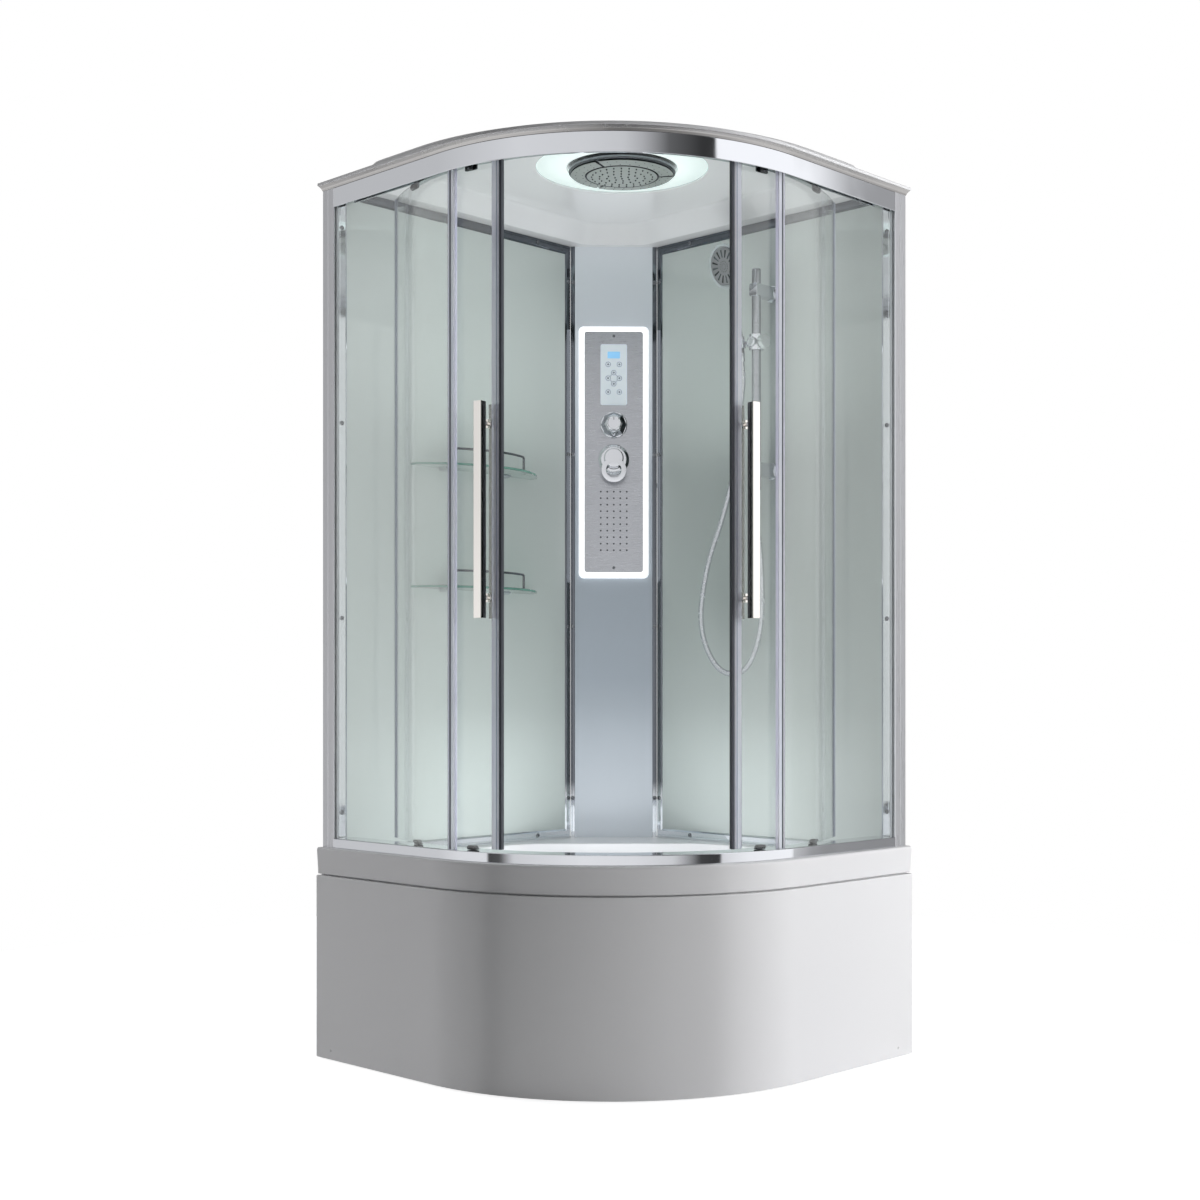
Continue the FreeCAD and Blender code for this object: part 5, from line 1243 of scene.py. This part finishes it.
def make_bar():
    length = BAR_TOP - BAR_FOOT
    profile = [
        (0, 0), (0, 9), (0.6, 10.8), (2, BAR_RADIUS), (length - 3, BAR_RADIUS), (length - 1, 10.4),
        (length, 8), (length, 0),
    ]
    foot_end = Vector((BAR_X, BAR_Y, BAR_FOOT))
    Form().add(lathe(profile, foot_end, UP, 48)).make("riser_rail", BAR_CHROME, "slide_bar", "fitting_chrome")
    form = Form()
    rose = [(0, 0), (0, 20.6), (0.6, 21), (2.6, 21), (3.7, 19.6), (4, 18), (4, 0)]
    for foot, top in BRACKET_LEVELS:
        corners = [(BRACKET_LEFT, foot), (BRACKET_RIGHT, foot), (BRACKET_RIGHT, top), (BRACKET_LEFT, top)]
        outline = softened(corners, 5, 5)
        form.add(slab(outline, lambda x, z, y: Vector((x, y, z)), BRACKET_FRONT, BRACKET_BACK, 1.4))
        form.add(lathe(rose, Vector((BAR_X, BRACKET_BACK, (foot + top) / 2)), FRONT, 48))
    nut = [(0, 0), (0, 9.6), (0.6, 10), (7, 10), (8, 9.2), (9, 10), (20, 10), (24, 9), (26, 8.4), (26, 0)]
    form.add(lathe(nut, foot_end, -UP, 24))
    form.add(bar(Vector((BAR_X, 470, OUTLET_LEVEL)), Vector((BAR_X, OUTLET_END, OUTLET_LEVEL)), 7.4, 24))
    form.make("rail_brackets", CHROME, "bar_brackets", "fitting_chrome")


def make_slider():
    centre = Vector((BAR_X, BAR_Y, SLIDER_LEVEL))
    sleeve = [
        (-20, 11.9), (-20, 17.4), (-19.4, 18.3), (-18, 18.5), (-8, 18.5), (-7, 17.9), (7, 17.9), (8, 18.5),
        (18, 18.5), (19.4, 18.3), (20, 17.4), (20, 11.9), (-20, 11.9),
    ]
    form = Form().add(lathe(sleeve, centre, UP, 56))
    button = [(12, 0), (12, 13), (21, 13), (23, 12), (24, 10), (24, 7.6), (23.2, 6.8), (23, 0)]
    form.add(lathe(button, centre, FRONT, 40))
    form.add(bar(centre - Vector((13, 0, 0)), centre - Vector((29.4, 0, 0)), 5, 24, 0.8))
    form.make("slider", CHROME, "slider_body", "fitting_chrome", "slider")
    rings = []
    for along, shrink in ((18.8, 1.4), (19.6, 0.3), (21, 0), (29, 0), (31, 0.8), (31.8, 2.6), (31.8, 9)):
        dip = 2.4 if shrink < 5 else 0
        ring = []
        for turn in circle_turns(72):
            size = 18 - shrink - max(0.0, math.cos(6 * turn)) ** 3 * dip
            ring.append(centre + Vector((along, size * math.cos(turn), size * math.sin(turn))))
        rings.append(ring)
    knob = Form().add(loft(rings))
    knob.add(bar(centre + Vector((13.8, 0, 0)), centre + Vector((20, 0, 0)), 4, 20))
    knob.make("clamp_wheel", KNOB_GREY, "slider_knob", "grey_rubber", "slider_clamp")


def make_holder():
    """A conical cradle, open towards the front, on a hub that turns on the slider's pin."""
    middle = TAIL + GRIP * 32
    profile = [
        (-15, 12.6), (-15, 14.6), (-14.2, 15.4), (-12, 15.5), (12, 15.5), (14.2, 15.4), (15, 14.6),
        (15, 12.9), (13.6, 12.4), (-13.6, 12.1),
    ]
    across = GRIP.orthogonal().normalized()
    other = GRIP.cross(across)
    front = math.degrees(math.atan2(FRONT.dot(other), FRONT.dot(across)))
    start, end = front + HOLDER_OPENING / 2 + 2, front + 360 - HOLDER_OPENING / 2 - 2
    steps = 44
    rings = []
    for step in range(steps + 1):
        turn = math.radians(start + (end - start) * step / steps)
        away = across * math.cos(turn) + other * math.sin(turn)
        rings.append([middle + GRIP * along + away * radius for along, radius in profile])
    form = Form().add(loft(rings))
    hub_start = Vector((BAR_X - 18.8, BAR_Y, SLIDER_LEVEL))
    hub = [(0, 5.2), (0, 9.4), (0.7, 10), (4.5, 10), (5.4, 9.4), (7, 9.4), (9.2, 8.4), (9.2, 5.2), (0, 5.2)]
    form.add(lathe(hub, hub_start, Vector((-1, 0, 0)), 36))
    route = [hub_start + Vector((-5, -4, 0)), hub_start + Vector((-9, -10, 0)), middle + Vector((9, 9, 0))]
    form.add(tube(route, [6, 6, 5]))
    form.make("cradle", CHROME, "shower_holder", "fitting_chrome", "holder")


def make_handset():
    """One moulded body: the tapered handle flows into the back of a round head."""
    form = Form()
    steps = 26
    points, radii = [], []
    for step in range(steps + 1):
        share = step / steps
        left = GRIP_LENGTH * (1 - 0.9 * share)
        near = min(1, max(0, (115 - left) / 75))
        lean = 11 * near * near * (3 - 2 * near)
        points.append(TAIL + GRIP * (GRIP_LENGTH * 0.9 * share) - FACE_OUT * lean)
        radii.append(10.5 + 1.7 * share + 0.9 * math.sin(math.pi * share) ** 2 + 1.2 * near)
    form.add(tube(points, radii, 32), 1)
    nut = [
        (0, 0), (0, 9.9), (-0.6, 10), (-3, 10), (-4, 9.3), (-5, 10), (-12, 9.8), (-15, 9.2), (-16, 8.4),
        (-16, 0),
    ]
    form.add(lathe(nut, TAIL, GRIP, 24), 0)
    collar = [(0, 10.4), (0.6, 11.1), (4, 11.2), (4.8, 10.6), (0, 10.4)]
    form.add(lathe(collar, TAIL + GRIP, GRIP, 36), 0)
    head = [
        (-24, 0), (-23.6, 12), (-22, 22), (-18, 34), (-12, 45), (-7, 51.6), (-3.4, 54.6), (-1, 55.7),
        (0, 55.8), (0.2, 55), (-0.2, 49.4), (-1.2, 48.6), (-1.2, 0),
    ]
    form.add(lathe(head, FACE, FACE_OUT, 88), 0)
    form.make("hand_shower", [CHROME, CHROME_DARK], "shower_handset", "fitting_chrome", "handset", angle=35)


def make_dial():
    """The turning spray face: two rings of small nozzles inside sixteen long slots."""
    face = [
        (0.3, 0), (0.3, 46.4), (0.9, 47), (2.2, 46.8), (3, 45.6), (3.2, 44), (2.7, 43), (2.9, 18), (3.25, 17),
        (3.25, 0),
    ]
    dial = Form().add(lathe(face, FACE, FACE_OUT, 88), 0)
    across = FACE_OUT.orthogonal().normalized()
    other = FACE_OUT.cross(across)
    size = 1.1
    for ring_radius, count in ((7, 8), (13, 14)):
        for turn in circle_turns(count):
            away = across * math.cos(turn) + other * math.sin(turn)
            place = FACE + away * ring_radius + FACE_OUT * 3.1
            dial.add(lathe([(0, 0), (0, size), (0.8, size * 0.7), (0.8, 0)], place, FACE_OUT, 10), 1)
    slot = softened([(22, -1.5), (41, -2.6), (41, 2.6), (22, 1.5)], 1.2)
    for number, turn in enumerate(circle_turns(16)):
        along = across * math.cos(turn) + other * math.sin(turn)
        side = FACE_OUT.cross(along)

        def place(u, v, depth, away=along, beside=side):
            return FACE + away * u + beside * v + FACE_OUT * depth

        dial.add(slab(slot, place, 2.4, 3.3, 0.15), 1 if number % 2 else 2)
    dial.add(lathe([(-3.6, 0), (-3.6, 12), (0.4, 12), (0.4, 0)], FACE, FACE_OUT, 32), 0)
    dial.make("spray_face", [RUBBER, RUBBER_DARK, CHROME_DARK], "spray_dial", "grey_rubber", "dial")


# Shelves on the left wall
SHELF_LEVELS = (1117, 1418)
SHELF_FACE, SHELF_MIDDLE, SHELF_HALF, SHELF_REACH = -474, -35, 200, -450
SHELF_ARC_X, SHELF_ARC_RADIUS = -615.77, 259.77
SHELF_THICKNESS, SHELF_RAIL_HEIGHT, SHELF_RAIL_INSET = 6, 38, 22
CLAMP_SHIFT, CLAMP_HALF = 95, 14


def shelf_curve(inset, share=1.0, steps=40):
    """Points of the shelf's front arc, drawn in by inset; share is how much of it is kept."""
    radius = SHELF_ARC_RADIUS - inset
    half = math.acos((SHELF_REACH - SHELF_ARC_X) / radius)
    made = []
    for step in range(steps + 1):
        turn = half * share * (2 * step / steps - 1)
        made.append(Vector((SHELF_ARC_X + radius * math.cos(turn), SHELF_MIDDLE + radius * math.sin(turn))))
    return made


def shelf_clamp(y, level):
    """A jaw that grips the glass from above and below."""
    middle, top = level + SHELF_THICKNESS / 2, level + SHELF_THICKNESS
    back, lip, nose = SHELF_FACE, SHELF_FACE + 6, SHELF_FACE + 24
    jaw = softened([
        (back, middle - 9), (back + 18, middle - 8), (nose, middle - 4), (nose, level), (lip, level),
        (lip, top), (nose, top), (nose, middle + 6), (back + 18, middle + 8.4), (back, middle + 9),
    ], [0.5, 4, 2, 0.5, 0.5, 0.5, 0.5, 2, 4, 0.5])
    return slab(jaw, lambda x, z, depth: Vector((x, depth, z)), y - CLAMP_HALF, y + CLAMP_HALF, 0.8)


def make_shelves():
    """Two curved shelves of clear glass on clamps, each with a guard rail along its front."""
    glass, metal = Form(), Form()
    front = shelf_curve(0.1)
    back_corners = [Vector((SHELF_FACE, SHELF_MIDDLE + end * SHELF_HALF)) for end in (-1, 1)]
    softness = [0, 2] + [0] * (len(front) - 2) + [2, 0]
    outline = softened(back_corners[:1] + front + back_corners[1:], softness)
    button = [(0, 0), (0, 5.6), (0.6, 6), (2, 6), (3, 4.6), (3, 0)]
    for level in SHELF_LEVELS:
        top = level + SHELF_THICKNESS
        glass.add(slab(outline, upright, level, top, 0.7))
        for shift in (-CLAMP_SHIFT, CLAMP_SHIFT):
            metal.add(shelf_clamp(SHELF_MIDDLE + shift, level))
        curve = shelf_curve(SHELF_RAIL_INSET, 0.62)
        rail = [Vector((point.x, point.y, top + SHELF_RAIL_HEIGHT)) for point in curve]
        ends = []
        for end, inner in ((rail[0], rail[1]), (rail[-1], rail[-2])):
            along = (inner - end).normalized()
            post = [Vector((end.x, end.y, top + height)) for height in (0, 12, 24, 31)]
            ends.append(post + [end - UP * 4, end + along * 1.2 - UP * 1.4, end + along * 4])
        metal.add(tube(ends[0] + rail[1:-1] + list(reversed(ends[1])), 3), 1)
        for end in (rail[0], rail[-1]):
            metal.add(lathe(button, Vector((end.x, end.y, top)), UP, 28))
    for index, face in enumerate(glass.faces):
        levels = [glass.points[corner].z for corner in face]
        if max(levels) - min(levels) > 2:
            glass.slots[index] = 1
    glass.make("shelves", [SHELF, GLASS_EDGE], "shelf_glasses", "shelf_glass", angle=50)
    metal.make("shelf_metal", [CHROME, CHROME_DARK], "shelf_fittings", "fitting_chrome", angle=35)


def make_drain_cover():
    """A round cover whose stem stands in the drain hole."""
    profile = [
        (181.2, 0), (181.2, 42), (181.2, 44.9), (187.2, 44.9), (187.2, 55.6), (188, 56), (190, 55.6),
        (191.2, 53), (191.8, 46), (192, 30), (192, 27), (191.2, 25.5), (191.2, 20), (191.9, 18.6), (192, 0),
    ]
    form = Form().add(lathe(profile, DRAIN, UP, 72))
    form.make("waste_cover", CHROME, "drain_cover", "fitting_chrome", "drain_cover")


# The hose: its routes are the frame's, in metres
HOSE_RADIUS, HOSE_RIB = 7, 3.2
RIB_DEPTHS = (0.0, 0.28, 0.95, 0.28)
HOSE_ROUTES = (
    ("hose_top", "handset", "holder", (
        (0.059367, 0.391727, 1.687152), (0.062357, 0.395505, 1.652486), (0.0535, 0.3995, 1.6),
        (0.0445, 0.4013, 1.55),
    ), (0.0594, 0.3917, 1.6872), (0.0445, 0.4013, 1.55)),
    ("hose_mid", "holder", "slider", (
        (0.0445, 0.4013, 1.55), (0.0355, 0.4031, 1.5), (0.022, 0.4035, 1.405), (0.001, 0.4037, 1.347),
    ), (0.0445, 0.4013, 1.55), (0.001, 0.4037, 1.347)),
    ("hose_drop", "slider", "cabin", (
        (0.001, 0.4037, 1.347), (-0.02, 0.4039, 1.289), (-0.061, 0.4042, 1.205), (-0.083, 0.4044, 1.118),
        (-0.092, 0.4046, 1.045), (-0.076, 0.4048, 0.981), (-0.0585, 0.405, 0.9545),
    ), (-0.0585, 0.405, 1.347), (-0.0585, 0.405, 0.562)),
    ("hose_rise", "slider", "cabin", (
        (-0.0585, 0.405, 0.9545), (-0.041, 0.4052, 0.928), (-0.006, 0.4055, 0.908), (0.031, 0.406, 0.905),
        (0.065, 0.4065, 0.921), (0.09, 0.4068, 0.96), (0.106, 0.4073, 1.01), (0.113, 0.4078, 1.07),
        (0.111, 0.4083, 1.142), (0.105, 0.409, 1.218), (0.092, 0.41, 1.286), (0.092, 0.41, 1.34),
    ), (-0.209, 0.4, 0.569), (0.092, 0.41, 1.34)),
)


def spline_points(route):
    """The smooth line that a NURBS spline draws through a route's control points."""
    curve = bpy.data.curves.new("route", "CURVE")
    curve.dimensions = "3D"
    curve.resolution_u = 24
    spline = curve.splines.new("NURBS")
    spline.points.add(len(route) - 1)
    for point, place in zip(spline.points, route):
        point.co = (*place, 1)
    spline.order_u = 3
    spline.use_endpoint_u = True
    holder = bpy.data.objects.new("route", curve)
    bpy.context.scene.collection.objects.link(holder)
    bpy.context.view_layer.update()
    line = bpy.data.meshes.new_from_object(holder.evaluated_get(bpy.context.evaluated_depsgraph_get()))
    points = [vertex.co.copy() for vertex in line.vertices]
    bpy.data.meshes.remove(line)
    bpy.data.objects.remove(holder)
    bpy.data.curves.remove(curve)
    return points


def even(points, step):
    """The same line with points about a step apart, and its length."""
    lengths = [0.0]
    for before, after in zip(points, points[1:]):
        lengths.append(lengths[-1] + (after - before).length)
    count = max(2, round(lengths[-1] / step))
    made = []
    index = 0
    for number in range(count + 1):
        wanted = lengths[-1] * number / count
        while index < len(points) - 2 and lengths[index + 1] < wanted:
            index += 1
        share = (wanted - lengths[index]) / max(lengths[index + 1] - lengths[index], 1e-9)
        made.append(points[index].lerp(points[index + 1], min(1, max(0, share))))
    return made, lengths[-1]


def make_hose():
    """A flexible metal hose: its ribs are rounded rings on the tube."""
    for name, first, second, route, start, end in HOSE_ROUTES:
        line, length = even(spline_points(route), HOSE_RIB * MILLIMETRE / len(RIB_DEPTHS))
        points = [point / MILLIMETRE for point in line]
        radii = [HOSE_RADIUS - RIB_DEPTHS[index % len(RIB_DEPTHS)] for index in range(len(points))]
        form = Form().add(tube(points, radii, 16))
        piece = form.make(name + "_ribs", HOSE, name, "braided_hose", None, angle=180)
        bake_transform(piece)
        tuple(start)
        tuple(end)
        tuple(route[0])
        [tuple(point) for point in line]


GRILLE_FOOT, GRILLE_PITCH, GRILLE_COLUMNS, GRILLE_ROWS = 1240, 17.4, 5, 10
HOLE_SHADE_OUT = 11.2


def make_grille_hole_shade():
    """Dark plugs in the holes of the loudspeaker's grille and a dark sheet behind them: painted shade that
    stands in for the holes' depth.
    """
    form = Form()
    form.add(column_slab(rounded_rectangle(92, 182, 6), 0, 1318.3, HOLE_SHADE_OUT - 0.3, HOLE_SHADE_OUT + 0.4, 0.2))
    for column in range(GRILLE_COLUMNS):
        x = (column - (GRILLE_COLUMNS - 1) / 2) * GRILLE_PITCH
        for row in range(GRILLE_ROWS):
            foot = on_column(x, -HOLE_SHADE_OUT, GRILLE_FOOT + row * GRILLE_PITCH)
            form.add(lathe([(0, 0), (0, 2.2), (4.5, 2.2), (4.6, 0)], foot, COLUMN_OUT, 16))
    form.make("grille_hole_shade", BLACK_PLASTIC, None, "black_plastic")


KEPT = (
    ("tray_frame", STEEL), ("levelling_feet", STEEL), ("drain_trap", GREY_PLASTIC), ("control_valve", BRASS),
    ("water_pipes", PIPE_STEEL), ("power_box", GREY_PLASTIC), ("speaker", BLACK_PLASTIC),
    ("control_plate", BRUSHED),
)

make_tray()
make_apron()
make_roof()
make_rails()
make_posts()
make_fixed_panes()
make_doors()
make_walls()
make_column()
make_led_frame()
make_caps()
make_keypad()
make_diverter()
make_mixer()
make_overhead()
make_ceiling_light()
make_bar()
make_slider()
make_holder()
make_handset()
make_dial()
make_shelves()
make_drain_cover()
make_hose()
make_grille_hole_shade()
for kept_node, its_material in KEPT:
    dress(kept_node, its_material)


# Studio: a white ground and soft light from both sides
def lamp(name, place, target, wide, high, power, colour=(1, 1, 1)):
    """A soft box that shows neither to the camera nor in reflections."""
    light = bpy.data.lights.new(name, "AREA")
    light.shape = "RECTANGLE"
    light.size = wide
    light.size_y = high
    light.energy = power
    light.color = colour
    made = bpy.data.objects.new(name, light)
    made.location = place
    made.rotation_euler = (Vector(target) - Vector(place)).to_track_quat("-Z", "Y").to_euler()
    made.visible_camera = False
    made.visible_glossy = False
    made.visible_transmission = False
    bpy.context.scene.collection.objects.link(made)
    return made


def make_lamps():
    """Soft boxes on the right and the left, a weak one over the cabin, and light within it."""
    lamp("key", (4.2, 1.55, 1.7), (0.2, -0.1, 0.9), 2.2, 2.8, 79)
    lamp("side", (2.75, 3.5, 1.7), (0.2, -0.1, 0.9), 2.2, 2.8, 122)
    lamp("fill", (-4.6, -1.25, 1.6), (-0.2, -0.2, 0.9), 1.6, 2.6, 168)
    lamp("top", (0.4, -0.6, 4.4), (0, 0, 1.2), 2.4, 2.4, 12)
    lamp("basin", (-0.02, 0.02, 0.36), (-0.02, 0.02, 2), 0.5, 0.5, 3.0, (0.97, 0.99, 1.0))
    lamp("pool", (0, 0, 0.82), (0, 0, 0), 0.5, 0.5, 1.0, (0.95, 0.98, 1.0))
    ceiling_wash = lamp("upward", (0, 0, 1.35), (0, 0, 2), 0.5, 0.5, 1.7, (0.97, 1.0, 0.99))
    ceiling_wash.data.spread = math.radians(150)


# Where along the horizon, as a share from -180 to 180 degrees, and how bright
UPPER_BANDS = (
    (0.0, 0.40), (0.03, 0.13), (0.082, 0.13), (0.098, 0.68), (0.20, 0.84), (0.242, 0.92), (0.333, 0.88),
    (0.385, 0.79), (0.41, 0.58), (0.445, 0.16), (0.49, 0.05), (0.508, 0.05), (0.5105, 1.35), (0.6446, 1.35),
    (0.6450, 0.46), (0.656, 0.44), (0.668, 0.12), (0.735, 0.12), (0.76, 0.34), (1.0, 0.40),
)
LOWER_BANDS = (
    (0.0, 0.40), (0.03, 0.13), (0.082, 0.13), (0.098, 0.76), (0.15, 0.98), (0.197, 1.0), (0.199, 0.08),
    (0.217, 0.12), (0.236, 0.86), (0.333, 1.05), (0.40, 1.0), (0.45, 0.86), (0.475, 0.36), (0.487, 0.08),
    (0.517, 0.05), (0.5195, 0.95), (0.56, 1.2), (0.640, 1.3), (0.643, 0.37), (0.656, 0.36), (0.668, 0.12),
    (0.735, 0.12), (0.76, 0.34), (1.0, 0.40),
)
UNDER_BANDS = (
    (0.0, 0.60), (0.07, 0.95), (0.25, 0.75), (0.375, 0.18), (0.50, 0.36), (0.625, 0.95), (0.75, 0.85),
    (1.0, 0.60),
)
AMBIENT = 0.07
FLOOR_HALF, FLOOR_LEVEL = 2.6, -0.001
GROUND_GLOW = 0.86


def bands(tree, turn, stops):
    """A ring of light and darker stretches round the horizon; turn goes from 0 to 1 along it."""
    made = grow(tree, "ValToRGB", [("Fac", turn)])
    elements = made.color_ramp.elements
    while len(elements) < len(stops):
        elements.new(0.5)
    for element, (place, value) in zip(elements, stops):
        element.position = place
        element.color = (value, value, value * 1.01, 1)
    return made.outputs["Color"]


def seen_directly(tree):
    """1 for rays from the camera, through glass or not."""
    rays = grow(tree, "LightPath").outputs
    sockets = [(0, rays["Is Camera Ray"]), (1, rays["Is Transmission Ray"])]
    return grow(tree, "Math", sockets, operation="MAXIMUM").outputs[0]


def make_world():
    """White to the camera; metal and glass mirror a pale room that has a soft box and darker stretches."""
    world = bpy.data.worlds.new("studio")
    bpy.context.scene.world = world
    world.use_nodes = True
    tree = world.node_tree
    tree.nodes.clear()
    where = grow(tree, "TexCoord").outputs["Generated"]
    parts = grow(tree, "SeparateXYZ", [(0, where)]).outputs
    turn = grow(tree, "Math", [(0, parts["Y"]), (1, parts["X"])], operation="ARCTAN2").outputs[0]
    around = ranged(tree, turn, -math.pi, math.pi)
    lower, upper, under = (bands(tree, around, stops) for stops in (LOWER_BANDS, UPPER_BANDS, UNDER_BANDS))
    level_room = mix_colours(tree, ranged(tree, parts["Z"], 0.02, 0.12), lower, upper)
    room_colour = mix_colours(tree, ranged(tree, parts["Z"], -0.3, -0.5), level_room, under)
    white = grow(tree, "Background", [("Color", (1, 1, 1, 1))]).outputs[0]
    plain = grow(tree, "Background", [("Color", (0.98, 0.99, 1.0, 1)), ("Strength", AMBIENT)]).outputs[0]
    room = grow(tree, "Background", [("Color", room_colour)]).outputs[0]
    glossy = grow(tree, "LightPath").outputs["Is Glossy Ray"]
    surface = mix_shaders(tree, seen_directly(tree), mix_shaders(tree, glossy, plain, room), white)
    grow(tree, "OutputWorld", [("Surface", surface)])


def make_floor():
    """A pale ground: to the camera it is nearly white and only the shadow darkens it."""
    paint = Paint("floor_white", (0.8, 0.8, 0.8, 1), 0.9, Specular_IOR_Level=0.0)
    shadow = grow(paint.tree, "BsdfDiffuse", [("Color", (0.45, 0.45, 0.46, 1))]).outputs[0]
    pale = grow(paint.tree, "Emission", [("Strength", GROUND_GLOW)]).outputs[0]
    shown = grow(paint.tree, "AddShader", [(0, shadow), (1, pale)]).outputs[0]
    paint.surface(mix_shaders(paint.tree, seen_directly(paint.tree), paint.shader.outputs[0], shown))
    mesh = bpy.data.meshes.new("floor")
    corners = [(-1, -1), (1, -1), (1, 1), (-1, 1)]
    mesh.from_pydata([(x * FLOOR_HALF, y * FLOOR_HALF, FLOOR_LEVEL) for x, y in corners], [], [(0, 1, 2, 3)])
    mesh.materials.append(paint.material)
    floor = bpy.data.objects.new("floor", mesh)
    bpy.context.scene.collection.objects.link(floor)
    floor.visible_glossy = False


def make_camera():
    """The photograph's view, as it was fitted to the cabin's corners and rails. Lengths in metres."""
    data = bpy.data.cameras.new("camera")
    data.lens = 51.64
    data.sensor_width = 36
    data.shift_x = -0.0362
    data.shift_y = 0.0750
    data.clip_end = 60
    camera = bpy.data.objects.new("camera", data)
    camera.location = (2.8562, -2.9068, 0.8658)
    side = Vector((0.70711, 0.70711, 0))
    forward = (Vector((-0.70711, 0.70711, 0)) * 0.9997 + side * 0.025).normalized()
    camera.rotation_euler = forward.to_track_quat("-Z", "Y").to_euler()
    bpy.context.scene.collection.objects.link(camera)
    bpy.context.scene.camera = camera


make_lamps()
make_world()
make_floor()
make_camera()
bpy.context.scene.view_settings.view_transform = "Standard"
